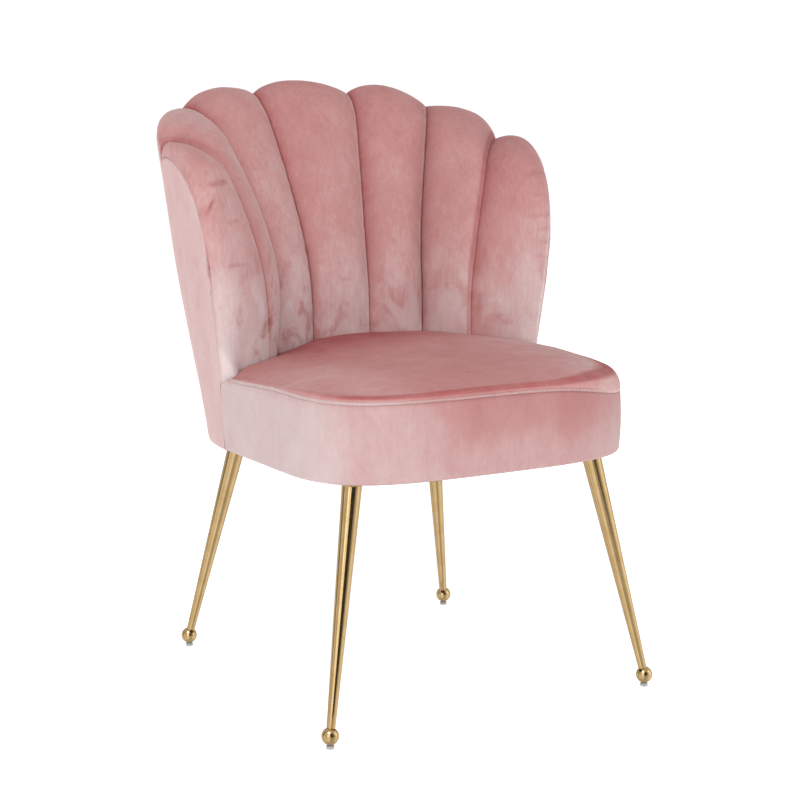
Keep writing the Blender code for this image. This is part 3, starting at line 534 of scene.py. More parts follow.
# ------------------------------------------------------------------ back
ACROSS = 52                    # columns of one channel
FACE_ROWS = 104                # rows up a channel's front
ROLL_ROWS = 26                 # rows over its rim
INNER_EVERY = 8                # one row of a channel's back for so many of its front
ROLL_END = radians(158)        # where the channels' velvet meets the outer panel, under the crest
CHANNEL_BOTTOM_Z = 0.4085
CHANNEL_BODY = 0.010
SEAM_SHARE = 0.0004            # half of the gap between channels, as a share of a channel's width
SEAM_GROOVE = (0.0004, 0.0013)      # depth and reach
# Each channel's own lightness, higher on the three left channels: painted light.
CHANNEL_PAINTED_LIGHT = (0.12, 0.16, 0.11, 0.04, 0.01, 0.04, 0.04)
CHANNEL_CRUSH = (1.0, 0.9, 0.75, 0.45, 0.45, 0.4, 0.45)
# Paler low on the left arm's front: painted light.
ARM_FRONT_PAINTED_LIGHT = 0.15
SEAM_PAINTED_SHADE = 0.24               # painted shade, a dark line in each seam
CREASE_PAINTED_SHADE = 75.0             # and painted shade that darkens with a crease's depth

CREASE_GAIN = 1.7
# Creases in the channels' velvet: channel, then share and height at each end, depth and width.
CREASES = (
    (0, 0.56, 0.6706, 0.20, 0.6692, 0.0022, 0.0018),
    (0, 0.34, 0.6850, 0.24, 0.6775, 0.0009, 0.0020),
    (0, 0.18, 0.6470, 0.07, 0.6300, 0.0024, 0.0020),
    (0, 0.58, 0.6200, 0.30, 0.6190, 0.0010, 0.0016),
    (0, 0.25, 0.5646, 0.54, 0.5622, 0.0012, 0.0016),
    (1, 0.05, 0.7230, 0.10, 0.7000, 0.0010, 0.0024),
    (6, 0.97, 0.6725, 0.56, 0.6690, 0.0010, 0.0026),
    (6, 0.98, 0.6405, 0.68, 0.6398, 0.0009, 0.0024),
    (6, 0.98, 0.6120, 0.62, 0.6112, 0.0008, 0.0024),
    (6, 0.98, 0.5945, 0.82, 0.5905, 0.0007, 0.0020),
    (6, 0.98, 0.5735, 0.84, 0.5735, 0.0007, 0.0020),
    (6, 0.98, 0.5525, 0.78, 0.5556, 0.0008, 0.0022),
    (6, 0.11, 0.4990, 0.09, 0.4680, 0.0012, 0.0040),
    (4, 0.33, 0.5330, 0.45, 0.5150, 0.0005, 0.0030),
)


def crease_depth(channel, across, z, width):
    """How deep the creases are at a point, given its distance across the channel."""
    depth = 0.0
    for which, share_a, z_a, share_b, z_b, deep, wide in CREASES:
        if which != channel or not min(z_a, z_b) - 3 * wide < z < max(z_a, z_b) + 3 * wide:
            continue
        start = Vector((share_a * width, z_a))
        along = Vector((share_b * width, z_b)) - start
        reach = Vector((across, z)) - start
        share = min(max(reach.dot(along) / along.length_squared, 0.0), 1.0)
        away = (reach - along * share).length
        fade = min(1.0, 0.25 + 3.0 * share * (1 - share) + (0.5 if share < 0.5 else 0.0))
        depth += CREASE_GAIN * deep * fade * exp(-(away / wide) ** 2)
    return depth


def channel_relief(channel, share, z, width, point):
    """Small rises and dips of the velvet: sewn seams, puckers beside them, creases and slack."""
    left, right = share * width, (1 - share) * width
    near = min(left, right)
    depth, reach = SEAM_GROOVE
    relief = -depth * exp(-near / reach)
    pucker = noise.noise((channel * 5.3 + (0.0 if left < right else 2.7), z * 75, 0.0))
    relief += 0.0009 * pucker * exp(-((near - 0.004) / 0.009) ** 2)
    slack = noise.noise((point.x * 16 + 4, point.y * 16, point.z * 7))
    slack += 0.5 * noise.noise((point.x * 42, point.y * 42 + 9, point.z * 24))
    relief += 0.0008 * slack * min(near / 0.012, 1.0)
    return relief - crease_depth(channel, left, z, width)


def channel_painted_light(channel, share, z, width):
    """Painted light and shade on the channels: painted shade right of each seam, in each seam and in the
    creases, a painted highlight just left of each seam, paler on the left arm's front and low down, darker
    high up.
    """
    left, right = share * width, (1 - share) * width
    nap_and_painted_light = 0.45 + 0.05 * (share - 0.5) + CHANNEL_PAINTED_LIGHT[channel]
    beside = 1.0 if channel > 0 else 0.25
    # Painted shade right of each seam; just left of it a painted highlight, a painted shade line instead at
    # the sixth channel's right edge; and a painted shade line in the seam itself.
    nap_and_painted_light -= beside * (0.16 * exp(-(left / 0.007) ** 2) + 0.09 * exp(-(left / 0.022) ** 2))
    nap_and_painted_light += (-0.30 if channel == CHANNELS - 2 else 0.20) * exp(-((right - 0.0032) / 0.0020) ** 2)
    nap_and_painted_light -= SEAM_PAINTED_SHADE * (exp(-(left / 0.0016) ** 2) + exp(-(right / 0.0014) ** 2))
    # Paler on the left arm's front low down: painted light.
    if channel == 0:
        low = 1 - smoothstep((z - 0.53) / 0.16)
        nap_and_painted_light += ARM_FRONT_PAINTED_LIGHT * low * (1 - smoothstep((share - 0.02) / 0.42))
    # The last channel paler toward its outer side and darker high up: painted light.
    if channel == CHANNELS - 1:
        nap_and_painted_light += 0.07 * smoothstep((share - 0.2) / 0.6) - 0.12 * smoothstep((z - 0.60) / 0.08)
    # Paler low down and darker high up: painted light; then painted shade in the creases.
    low_gain = 0.34 if channel < CHANNELS - 1 else 0.20
    nap_and_painted_light += low_gain * (1 - smoothstep((z - 0.43) / 0.20)) - 0.07 * smoothstep((z - 0.64) / 0.12)
    return nap_and_painted_light - CREASE_PAINTED_SHADE * crease_depth(channel, left, z, width)


def crush_share(channel, share, z):
    """How strongly the nap is crushed: most low on the channels beside the seat."""
    low = 1 - smoothstep((z - 0.47) / 0.13)
    arm_front = smoothstep((share - 0.22) / 0.12) if channel == 0 else 1.0
    return CHANNEL_CRUSH[channel] * arm_front * (0.12 + 0.88 * low)


def column_shares():
    """Where a channel's columns stand, closer together toward its seams."""
    shares = []
    for column in range(ACROSS + 1):
        even = column / ACROSS
        eased = 0.5 - 0.5 * cos(pi * even)
        shares.append(SEAM_SHARE + (1 - 2 * SEAM_SHARE) * (0.45 * even + 0.55 * eased))
    return shares


def channel_column(channel, share):
    """One column up a channel's front and over the rim, and the same column of its back."""
    bottom_z = CHANNEL_BOTTOM_Z
    last = FACE_ROWS + ROLL_ROWS
    turn_z = crest_height(channel, share) - roll_height(channel, share)
    outside, nap_and_light_values, crushes, inside = [], [], [], []
    for row in range(last + 1):
        if row < FACE_ROWS:
            z, angle = bottom_z + (turn_z - bottom_z) * row / FACE_ROWS, 0.0
            front, _, _, forward = channel_point(channel, share, z, CHANNEL_BULGE)
            point = Vector((*front, z))
            back = Vector((*channel_point(channel, share, z, 0.0, CHANNEL_BODY)[0], z))
        else:
            angle = ROLL_END * (row - FACE_ROWS) / ROLL_ROWS
            point = roll_point(channel, share, angle)
            forward = channel_point(channel, share, point.z, CHANNEL_BULGE)[3]
            back = roll_point(channel, share, angle, 0.0, CHANNEL_BODY / 2)
        left = channel_bound(channel, point.z)[0]
        width = (channel_bound(channel + 1, point.z)[0] - left).length
        out = Vector((*(forward * cos(angle)), sin(angle)))
        tuck = 0.0007 * smoothstep((row - last + 2.5) / 2.5)
        thin = smoothstep(min(share, 1 - share) * width / 0.004) if channel in (0, CHANNELS - 1) else 1.0
        relief = channel_relief(channel, share, point.z, width, point)
        outside.append(point + out * (relief * (0.3 + 0.7 * thin) - tuck))
        nap_and_light_values.append(channel_painted_light(channel, share, point.z, width))
        crushes.append(crush_share(channel, share, point.z))
        if row % INNER_EVERY == 0 or row == last:
            inside.append(back)
    return outside, nap_and_light_values, crushes, inside


def make_channels(material):
    for channel in range(CHANNELS):
        columns = [channel_column(channel, share) for share in column_shares()]
        outsides, nap_and_light_values, crushes, insides = zip(*columns)
        bm = new_cloth()
        front = skin(bm, outsides)
        store(bm, "nap_and_painted_light", front, nap_and_light_values)
        store(bm, "crush", front, crushes)
        rear = skin(bm, insides)
        bridge(bm, [column[0] for column in front], [column[0] for column in rear])
        bridge(bm, [column[-1] for column in front], [column[-1] for column in rear])
        for side in (0, -1):
            bm.faces.new(front[side] + rear[side][::-1])
        name = f"channel_{channel + 1}"
        item = place(name, bm, material, CLOTH_ANGLE)
        if channel == MIDDLE:
            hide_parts("inner_back_cover")
        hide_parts(f"channel_pad_{channel + 1}")


PANEL_STEPS = 30               # columns behind one channel
PANEL_CROWDING = 1.8
PANEL_ROWS = 60
PANEL_ROLL_ROWS = 10
PANEL_HEM = ((0.0160, 0.0014), (0.0090, 0.0002), (0.0050, 0.0), (0.0028, 0.0005), (0.0012, 0.0018),
             (0.0003, 0.0038))      # how far in and how far up, over the frame's lower edge
PANEL_ENDS = ((0.0020, -0.0008), (0.0006, -0.0010), (0.0001, -0.0014))      # how far in and forward


def panel_columns():
    """Every (channel, share) round the back once, closer together toward the arms' front edges."""
    found = []
    for channel in range(CHANNELS):
        for step in range(0 if channel == 0 else 1, PANEL_STEPS + 1):
            share = step / PANEL_STEPS
            if channel == 0:
                share = share ** PANEL_CROWDING
            if channel == CHANNELS - 1:
                share = 1 - (1 - share) ** PANEL_CROWDING
            found.append((channel, share))
    return found


def panel_column(channel, share, inset, forward=0.0):
    """One column of the outer panel, from the hem under the frame up to the seam under the crest."""
    turn_z = crest_height(channel, share) - roll_height(channel, share)
    bearing = channel_point(channel, share, 0.5, 0.0)[1]
    points = []
    for tuck, lift in PANEL_HEM:
        point = shell_point(bearing, SEAT_BOTTOM_Z + lift, tuck + inset)
        points.append(Vector((point.x, point.y - forward, SEAT_BOTTOM_Z + lift)))
    low = SEAT_BOTTOM_Z + 0.0065
    for row in range(PANEL_ROWS):
        z = low + (turn_z - low) * row / PANEL_ROWS
        point = shell_point(bearing, z, inset)
        slack = noise.noise((point.x * 7, point.y * 7 + 3, z * 5)) * 0.0009
        point = shell_point(bearing, z, inset + slack * sin(pi * row / PANEL_ROWS))
        points.append(Vector((point.x, point.y - forward, z)))
    span = pi - ROLL_END + radians(2.5)
    for row in range(PANEL_ROLL_ROWS + 1):
        angle = pi - span * row / PANEL_ROLL_ROWS
        tuck = 0.0018 * smoothstep((row - PANEL_ROLL_ROWS + 3.5) / 3)
        point = roll_point(channel, share, angle, CHANNEL_BULGE, inset + tuck)
        points.append(Vector((point.x, point.y - forward, point.z)))
    return points


def make_outer_panel(material):
    ends = []
    for inset, forward in PANEL_ENDS:
        ends.append([panel_column(channel, share, inset, forward)
                     for channel, share in ((0, 0.0), (CHANNELS - 1, 1.0))])
    middle = []
    for channel, share in panel_columns()[1:-1]:
        column = panel_column(channel, share, 0.0)
        for point in column:
            point.y = max(point.y, shell_edge_y(point.z) + 0.0020)
        middle.append(column)
    columns = [pair[0] for pair in ends] + middle + [pair[1] for pair in reversed(ends)]
    bm = new_cloth()
    verts = skin(bm, columns)
    # The panel is pale and darker toward the rear: painted light; its last rows under the rim are darker
    # still: painted shade.
    nap_and_light_values = []
    for column in columns:
        nap_and_light_values.append([0.79 - 0.14 * smoothstep((point.y + 0.02) / 0.28)
                     - 0.10 * (1 if index > len(column) - 3 else 0) for index, point in enumerate(column)])
    store(bm, "nap_and_painted_light", verts, nap_and_light_values)
    store(bm, "crush", verts, 0.10)
    item = place("outer_panel", bm, material, CLOTH_ANGLE)
    solidify(item, CLOTH, -1.0)
    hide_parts("outer_back_cover")


# ------------------------------------------------------------------ seat
FRONT_PART = 0.66              # share of the half outline that the rounded front takes
CORNER_DIP = 0.0180            # the seam is pulled down at the right front corner
CORNER_DIP_AT = (0.205, -0.213)
CORNER_DIP_REACH = 0.085
SIDE_LIFT = 0.0032             # and runs a little higher along the left side
LIP = 0.0042                   # height of the sewn lip between the band and the cushion


def station(u, z, inset=0.0, rear_gap=0.0):
    """A point of the seat's outline, from u = -1 at its left rear end to 1 at its right rear end."""
    share = abs(u)
    sign = -1 if u < 0 else 1
    if share <= FRONT_PART:
        x, y = seat_front_point(pi / 2 * share / FRONT_PART, inset)
        return Vector((sign * x, y))
    end = shell_edge_y(z) - rear_gap
    y = SEAT_FRONT_CENTRE_Y + (end - SEAT_FRONT_CENTRE_Y) * (share - FRONT_PART) / (1 - FRONT_PART)
    return Vector((sign * seat_side_x(y, z, inset), y))


def seam_z(x, y):
    """Height of the seam round the seat."""
    away = sqrt((x - CORNER_DIP_AT[0]) ** 2 + (y - CORNER_DIP_AT[1]) ** 2)
    dip = CORNER_DIP * exp(-(away / CORNER_DIP_REACH) ** 2)
    lift = SIDE_LIFT * smoothstep((-x - 0.18) / 0.05) * exp(-((y + 0.11) / 0.08) ** 2)
    return SEAT_SEAM_Z - dip + lift


def stations(count, limit=1.0):
    """Even steps round the outline, from -limit to limit."""
    return [-limit + 2 * limit * step / count for step in range(count + 1)]


BAND_ROWS = 34
BAND_HEM = ((0.0150, 0.0014), (0.0095, 0.0002), (0.0055, 0.0), (0.0030, 0.0006), (0.0012, 0.0020),
            (0.0003, 0.0042))       # how far in and how far up, over the frame's lower edge


def band_column(u, tuck, gap):
    """One column of the band: the hem, the face with its slack, and the top turned in at the seam."""
    x, y = station(u, SEAT_SEAM_Z)
    top = seam_z(x, y) - LIP / 2 - 0.0004
    top -= 0.0075 * smoothstep((y - shell_edge_y(top) + 0.018) / 0.018)
    low = SEAT_BOTTOM_Z + 0.0070
    heights = [(inset, SEAT_BOTTOM_Z + lift) for inset, lift in BAND_HEM]
    for row in range(BAND_ROWS + 1):
        share = row / BAND_ROWS
        z = low + (top - low) * share
        slack = noise.noise((x * 9, y * 9, z * 6 + 2)) + 0.4 * noise.noise((x * 30, y * 30, z * 14))
        heights.append(((-0.0014 - 0.0009 * slack) * sin(pi * share), z))
    ledge = 0.020 * smoothstep((y - shell_edge_y(top) + 0.045) / 0.025)
    heights += [(0.0008, top + 0.0008), (0.0026, top + 0.0012), (0.0030 + ledge / 2, top + 0.0010),
                (0.0034 + ledge, top)]
    return [(*station(u, z, inset + tuck, gap), z) for inset, z in heights]


def band_smudges_and_painted_light(x, z):
    """Paler round to the left, low down and at the far right, painted light, and darker just under the lip,
    painted shade, with soft upright smudges toward the right.
    """
    share = (z - SEAT_BOTTOM_Z) / (SEAT_SEAM_Z - SEAT_BOTTOM_Z)
    right = smoothstep((x + 0.20) / 0.26)
    nap_and_painted_light = 0.88 - 0.18 * smoothstep((x + 0.235) / 0.05)
    nap_and_painted_light -= right * (0.08 + 0.19 * smoothstep((share - 0.1) / 0.8))
    smudge = noise.noise((x * 21 + 1, 3.0, z * 6)) * 0.5 + 0.5
    smudge = 0.10 * smoothstep((smudge - 0.44) / 0.14) * smoothstep(share * 1.6)
    nap_and_painted_light -= smudge * right * (1 - smoothstep((x - 0.10) / 0.06))
    nap_and_painted_light += 0.10 * smoothstep((x - 0.13) / 0.06)
    return nap_and_painted_light - 0.08 * smoothstep((share - 0.90) / 0.08)


def make_band(material):
    bm = new_cloth()
    columns = [band_column(-1.0, 0.0050, 0.0012), band_column(-1.0, 0.0012, 0.0012)]
    columns += [band_column(u, 0.0, 0.0018) for u in stations(220)]
    columns += [band_column(1.0, 0.0012, 0.0012), band_column(1.0, 0.0050, 0.0012)]
    verts = skin(bm, columns)
    store(bm, "nap_and_painted_light", verts, [[band_smudges_and_painted_light(x, z) for x, _, z in column] for column in columns])
    store(bm, "crush", verts, 0.12)
    item = place("seat_band", bm, material, CLOTH_ANGLE)
    solidify(item, CLOTH, -1.0)
    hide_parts("seat_side_band")


CUSHION_CROWN = 0.0185
CUSHION_EDGE_Z = (0.4285, 0.4325)       # where the top rounds over, at the front and beside the back
CROWN_REACH = (0.237, 0.222, 0.285)     # aside, ahead and behind
CROWN_POWER = 3.0
CRESCENT_RISE = 0.009          # the dark crescent along the front edge moves up toward the right corner
LEFT_DROP = 0.0085             # the cushion is flatter along its left side
CORNER_DROP = 0.0080           # and flatter still where the left arm turns into the back
CORNER_DROP_AT = (-0.125, 0.145)
CUSHION_LIMIT = 0.915          # how far round the seat the cushion stands free of the channels
CUSHION_START = 0.11           # and the share of the first and last channels it leaves free
CUSHION_SIDE_Z = 0.438         # height where it lies against the channels
CUSHION_REACH = 0.24
CUSHION_UNDER = 0.014          # depth of its under edge below its foot
EDGE_LEAST = 0.0018            # the cushion stands at least this far above its lip
EDGE_DEPTHS = (0.0, 0.0003, 0.0010, 0.0020, 0.0032, 0.0046, 0.0062, 0.0080, 0.0100, 0.0125, 0.0155, 0.0190)
TOP_RINGS = 30


def cushion_top(x, y):
    """Height of the cushion's top, falling away from its crown."""
    behind = y > SEAT_CENTRE_Y
    along = abs(y - SEAT_CENTRE_Y) / CROWN_REACH[2 if behind else 1]
    reach = (abs(x) / CROWN_REACH[0]) ** CROWN_POWER + along ** CROWN_POWER
    low, high = CUSHION_EDGE_Z
    high -= LEFT_DROP * smoothstep((0.02 - x) / 0.14)
    high -= CORNER_DROP * exp(-((x - CORNER_DROP_AT[0]) / 0.05) ** 2 - ((y - CORNER_DROP_AT[1]) / 0.06) ** 2)
    return low + (high - low) * smoothstep((y + 0.15) / 0.17) + CUSHION_CROWN * max(1 - reach, 0.0)


def cushion_boundary():
    """The cushion's plan, round the front and along the channels: x, y, foot, edge's width and fullness."""
    found = []
    for u in stations(240, CUSHION_LIMIT):
        x, y = station(u, SEAT_SEAM_Z)
        foot = seam_z(x, y) + LIP / 2 - 0.0006
        taper = smoothstep((CUSHION_LIMIT - abs(u)) / 0.10)
        width = max(0.85 * (cushion_top(x * 0.95, y * 0.95) - foot), EDGE_LEAST)
        found.append((x, y, foot, width, 0.25 + 0.75 * taper))
    for channel in reversed(range(CHANNELS)):
        steps = 26
        for step in range(1, steps):
            share = 1 - step / steps
            edge = share if channel == 0 else 1 - share if channel == CHANNELS - 1 else 1.0
            if edge < CUSHION_START:
                continue
            z = CUSHION_SIDE_Z - 0.010 * (1 - smoothstep(edge / 0.4))
            front, _, _, forward = channel_point(channel, share, z, CHANNEL_BULGE)
            groove = 0.0010 - 0.0016 * exp(-min(share, 1 - share) / 0.02)
            point = front + forward * groove
            found.append((point.x, point.y, cushion_top(point.x, point.y) - 0.0070, 0.0085, 1.0))
    return found


def cushion_crescent_and_painted_light(px, py, y, depth, width):
    """The top's tone at a point: painted shade darker behind toward the channels, painted light paler toward
    the sides, and a darker crescent along the front edge.
    """
    rise = CRESCENT_RISE * smoothstep((px - 0.07) / 0.14)
    edge = 1 - smoothstep((depth - width * 0.55 - rise * 1.3) / (width * 0.45 + rise * 0.35))
    edge *= smoothstep((depth - rise * 0.42) / (0.0010 + rise * 0.55))
    edge *= smoothstep((px + 0.245) / 0.06)
    crescent = edge * smoothstep((-y - 0.10) / 0.06)
    middle = exp(-(px / 0.11) ** 2)
    nap_and_painted_light = 0.42 - (0.26 + 0.14 * middle) * smoothstep((py - 0.3 * px + 0.06) / 0.21) - 0.30 * crescent
    aside = 0.22 * smoothstep((px - 0.04) / 0.18) + 0.10 * smoothstep((-px - 0.09) / 0.08)
    nap_and_painted_light += aside * (1 - crescent)
    return nap_and_painted_light - 0.10 * exp(-(max(px + 0.25, 0.0) / 0.10) ** 2) * edge


def cushion_ring(boundary, number):
    """Ring number of the cushion, from its edge to its middle, and the tone there, mostly painted light."""
    ring, nap_and_light_values = [], []
    last = 1 - EDGE_DEPTHS[-1] / CUSHION_REACH
    for x, y, foot, width, full in boundary:
        radius = sqrt(x * x + (y - SEAT_CENTRE_Y) ** 2)
        if number < len(EDGE_DEPTHS):
            share = 1 - EDGE_DEPTHS[number] / CUSHION_REACH
            depth = (1 - share) * CUSHION_REACH
        else:
            step = number - len(EDGE_DEPTHS) + 1
            share = last * (1 - step / TOP_RINGS) ** 0.92
            depth = (1 - share) * radius
        px, py = x * share, SEAT_CENTRE_Y + (y - SEAT_CENTRE_Y) * share
        turn = 1 - min(depth / width, 1.0)
        slack = noise.noise((px * 9 + 5, py * 9, 1.0)) + 0.5 * noise.noise((px * 24, py * 24, 7.0))
        full += (1 - full) * smoothstep(depth / 0.03)
        height = max(cushion_top(px, py) + 0.0009 * slack - foot, EDGE_LEAST)
        ring.append((px, py, foot + height * sqrt(1 - turn ** 2.2) * full))
        nap_and_light_values.append(cushion_crescent_and_painted_light(px, py, y, depth, width))
    return ring, nap_and_light_values


def make_seat_cushion(material):
    boundary = cushion_boundary()
    rings = [[(x * 0.985, SEAT_CENTRE_Y + (y - SEAT_CENTRE_Y) * 0.985, foot - CUSHION_UNDER)
              for x, y, foot, _, _ in boundary]]
    nap_and_light_values = [[0.3] * len(boundary)]
    for number in range(len(EDGE_DEPTHS) + TOP_RINGS - 1):
        ring, ring_nap_and_light = cushion_ring(boundary, number)
        rings.append(ring)
        nap_and_light_values.append(ring_nap_and_light)
    bm = new_cloth()
    verts = skin(bm, rings, closed_columns=True)
    bm.faces.new(verts[0])
    bm.faces.new(verts[-1][::-1])
    store(bm, "nap_and_painted_light", verts, nap_and_light_values)
    store(bm, "crush", verts, 0.10)
    item = place("seat_cushion", bm, material, CLOTH_ANGLE)
    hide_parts("seat_top_cover", "seat_foam")


LIP_LIMIT = 0.925              # how far round the seat the lip goes
STITCH_PITCH = 0.0024
STITCH_RADIUS = 0.00040


def lip_section(u):
    """The sewn lip's section: a soft flat bead that thins out toward its ends."""
    x, y = station(u, SEAT_SEAM_Z)
    z = seam_z(x, y)
    full = smoothstep((LIP_LIMIT - abs(u)) / 0.03) * (1 - 0.9 * smoothstep((x - 0.13) / 0.06))
    sunk = 0.0009 * smoothstep((x - 0.13) / 0.06)
    points = []
    for step in range(13):
        angle = -pi / 2 + pi * step / 12
        out = (0.0001 + 0.0008 * full) * max(cos(angle), 0.0) ** 0.7 - 0.0001 - sunk
        lift = LIP / 2 * (0.35 + 0.65 * full) * sin(angle)
        points.append((*station(u, SEAT_SEAM_Z, -out), z + lift))
    for step in range(3):
        points.append((*station(u, SEAT_SEAM_Z, 0.0030), z + LIP / 2 * 0.8 * (1 - step)))
    return points


def make_lip(material, thread):
    bm = new_cloth()
    columns = [lip_section(u) for u in stations(260, LIP_LIMIT)]
    rings = skin(bm, columns, closed_columns=True)
    bm.faces.new(rings[0])
    bm.faces.new(rings[-1][::-1])
    # The lip is paler at its left end and darker toward the right: painted light, as on the band.
    nap_and_light_values = [[0.78 - 0.40 * smoothstep((point[0] + 0.21) / 0.16) for point in column] for column in columns]
    store(bm, "nap_and_painted_light", rings, nap_and_light_values)
    place("seat_lip", bm, material, CLOTH_ANGLE)
    bm = bmesh.new()
    line = []
    for u in stations(500, LIP_LIMIT - 0.02):
        sunk = 0.0016 * smoothstep((station(u, SEAT_SEAM_Z)[0] - 0.13) / 0.06)
        x, y = station(u, SEAT_SEAM_Z, -0.0015 + sunk)
        line.append((x, y, seam_z(x, y)))
    for point, direction in along_line(line, STITCH_PITCH):
        out = Vector((direction.y, -direction.x, 0.0)).normalized()
        add_stitch(bm, point, Vector((0.0, 0.0, 1.0)), out, LIP * 0.86, STITCH_RADIUS)
    place("seat_lip_stitches", bm, thread)


def along_line(points, spacing):
    """Points at even spacing along a polyline, with the direction there."""
    found = []
    carried = spacing / 2
    for start, end in zip(points, points[1:]):
        a, b = Vector(start), Vector(end)
        length = (b - a).length
        if length == 0:
            continue
        direction = (b - a) / length
        while carried <= length:
            found.append((a + direction * carried, direction))
            carried += spacing
        carried -= length
    return found


def add_stitch(bm, centre, along, out, length, radius):
    """A short thread lying on the cloth, thicker in the middle, with its ends going in."""
    side = along.cross(out).normalized()
    rings = []
    for step in range(5):
        share = step / 4
        thick = radius * (0.55 + 0.45 * sin(pi * share))
        sink = radius * 1.8 * (2 * share - 1) ** 4
        middle = centre + along * length * (share - 0.5) - out * sink
        rings.append([middle + (side * cos(2 * pi * turn / 6) + out * sin(2 * pi * turn / 6)) * thick
                      for turn in range(6)])
    solid_rows(bm, rings)


# ------------------------------------------------------------------ underside
DUST_TOP_Z = SEAT_BOTTOM_Z - 0.0004
DUST_EDGE = ((0.975, 0.0001), (0.992, 0.0001), (1.0, 0.0002), (0.996, 0.0005), (0.985, 0.0006),
             (0.955, 0.0006), (0.95, 0.0003), (0.90, 0.0003), (0.80, 0.0003))      # share of the plan, drop
DUST_RINGS = 16
DUST_SAG = 0.0035
STAPLE_PITCH = 0.024
STAPLE_LENGTH = 0.0100
STAPLE_RADIUS = 0.0004


def ring_half(inset, steps=40):
    """The seat ring's plan from the front centre round the right side to the rear centre."""
    points = [seat_front_point(pi / 2 * step / steps, inset) for step in range(steps + 1)]
    edge_y = SHELL_EDGE[0][1]
    width, depth = SEAT_HALF_WIDTH - inset, REAR_Y - edge_y - inset
    for step in range(steps + 1):
        bearing = pi / 2 * (1 - step / steps)
        reach = round_reach(bearing, width, depth, SHELL_POWER_LOW)
        points.append((reach * sin(bearing), edge_y + reach * cos(bearing)))
    return points


def make_dust_cover(cloth, steel):
    right = ring_half(DUST_COVER_INSET)
    outline = right + [(-x, y) for x, y in reversed(right[1:-1])]
    rings = [[(x * share, y * share, DUST_TOP_Z - drop) for x, y in outline] for share, drop in DUST_EDGE]
    for step in range(1, DUST_RINGS):
        share = DUST_EDGE[-1][0] * (1 - step / DUST_RINGS)
        ring = []
        for x, y in outline:
            px, py = x * share, y * share
            sag = DUST_SAG * max(1 - (share / 0.62) ** 2, 0.0) ** 2
            wrinkle = 0.0004 * noise.noise((px * 22, py * 12, 0.0))
            ring.append((px, py, DUST_TOP_Z - DUST_EDGE[-1][1] - sag + wrinkle))
        rings.append(ring)
    bm = bmesh.new()
    verts = skin(bm, rings, closed_columns=True)
    bm.faces.new(verts[-1][::-1])
    item = place("dust_cloth", bm, cloth, 50)
    solidify(item, 0.0003, 1.0)
    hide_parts("dust_cover")
    bm = bmesh.new()
    loop = [(x * 0.972, y * 0.972, DUST_TOP_Z - 0.0008) for x, y in outline]
    for point, direction in along_line(loop + loop[:1], STAPLE_PITCH):
        side = Vector((direction.y, -direction.x, 0.0))
        slant = (direction + side * 0.25).normalized()
        add_stitch(bm, point, slant, Vector((0.0, 0.0, -1.0)), STAPLE_LENGTH, STAPLE_RADIUS)
    place("dust_cloth_staples", bm, steel, 40)


SCREW_SHANK_RADIUS = 0.0019
RECESS_HALF_WIDTH = 0.00055
RECESS_RADIUS = 0.0026
RECESS_DEPTH = 0.0011


def make_screw(name, x, y, steel):
    """A pan-head screw's head with a cross recess, and the top of its shank up to the plate."""
    segments, rings = 48, 10
    base_z = PLATE_TOP_Z - PLATE - 0.0002
    rows = [circle(x, y, z, SCREW_SHANK_RADIUS, segments) for z in (base_z + PLATE, base_z)]
    for ring in range(rings + 1):
        share = 1 - ring / (rings + 0.5)
        row = []
        for step in range(segments):
            angle = 2 * pi * step / segments
            radius = SCREW_HEAD_RADIUS * share
            drop = SCREW_HEAD * sqrt(max(1 - share ** 3.2, 0.0))
            cross = min(abs(radius * sin(angle)), abs(radius * cos(angle)))
            if cross < RECESS_HALF_WIDTH and radius < RECESS_RADIUS:
                drop -= RECESS_DEPTH
            row.append((x + radius * cos(angle), y + radius * sin(angle), base_z - drop))
        rows.append(row)
    bm = bmesh.new()
    solid_rows(bm, rows)
    item = place(name, bm, steel, 35)
    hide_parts(name.replace("screw_head", "leg_screw"))


# ------------------------------------------------------------------ legs
LEG_SEGMENTS = 64
PLATE_CORNER = 0.008
PLATE_BEVEL = 0.0005
WELD_ROWS = ((0.0, 0.0014), (0.0006, 0.0011), (0.0013, 0.0004), (0.0015, -0.0002))      # swell and drop
GLIDE_PROFILE = (
    (GLIDE_RADIUS - 0.0010, 0.0), (GLIDE_RADIUS - 0.0004, 0.0002), (GLIDE_RADIUS - 0.0001, 0.0006),
    (GLIDE_RADIUS, 0.0012), (GLIDE_RADIUS, GLIDE_PAD - 0.0010), (GLIDE_RADIUS - 0.0002, GLIDE_PAD - 0.0004),
    (GLIDE_RADIUS - 0.0008, GLIDE_PAD), (GLIDE_STUD_RADIUS + 0.0004, GLIDE_PAD),
    (GLIDE_STUD_RADIUS, GLIDE_PAD + 0.0004), (GLIDE_STUD_RADIUS, GLIDE_STUD_TOP - 0.0005),
    (GLIDE_STUD_RADIUS - 0.0005, GLIDE_STUD_TOP),
)


def leg_line(end, sign):
    """The ball's centre and the direction from it up the leg."""
    foot = Vector((sign * LEG_FOOT[end][0], LEG_FOOT[end][1], BALL_Z))
    aim = Vector((sign * LEG_AIM[end][0], LEG_AIM[end][1], LEG_AIM_Z))
    return foot, (aim - foot).normalized()


def leg_ring(foot, axis, reach, full, share):
    """A ring round the leg at a reach from the ball's centre, at a share of its radius there."""
    aside = axis.cross(Vector((0, 1, 0))).normalized()
    ahead = axis.cross(aside).normalized()
    radius = (LEG_END_RADIUS + (LEG_TOP_RADIUS - LEG_END_RADIUS) * reach / full) * share
    return [foot + axis * reach + (aside * cos(2 * pi * step / LEG_SEGMENTS)
                                   + ahead * sin(2 * pi * step / LEG_SEGMENTS)) * radius
            for step in range(LEG_SEGMENTS)]


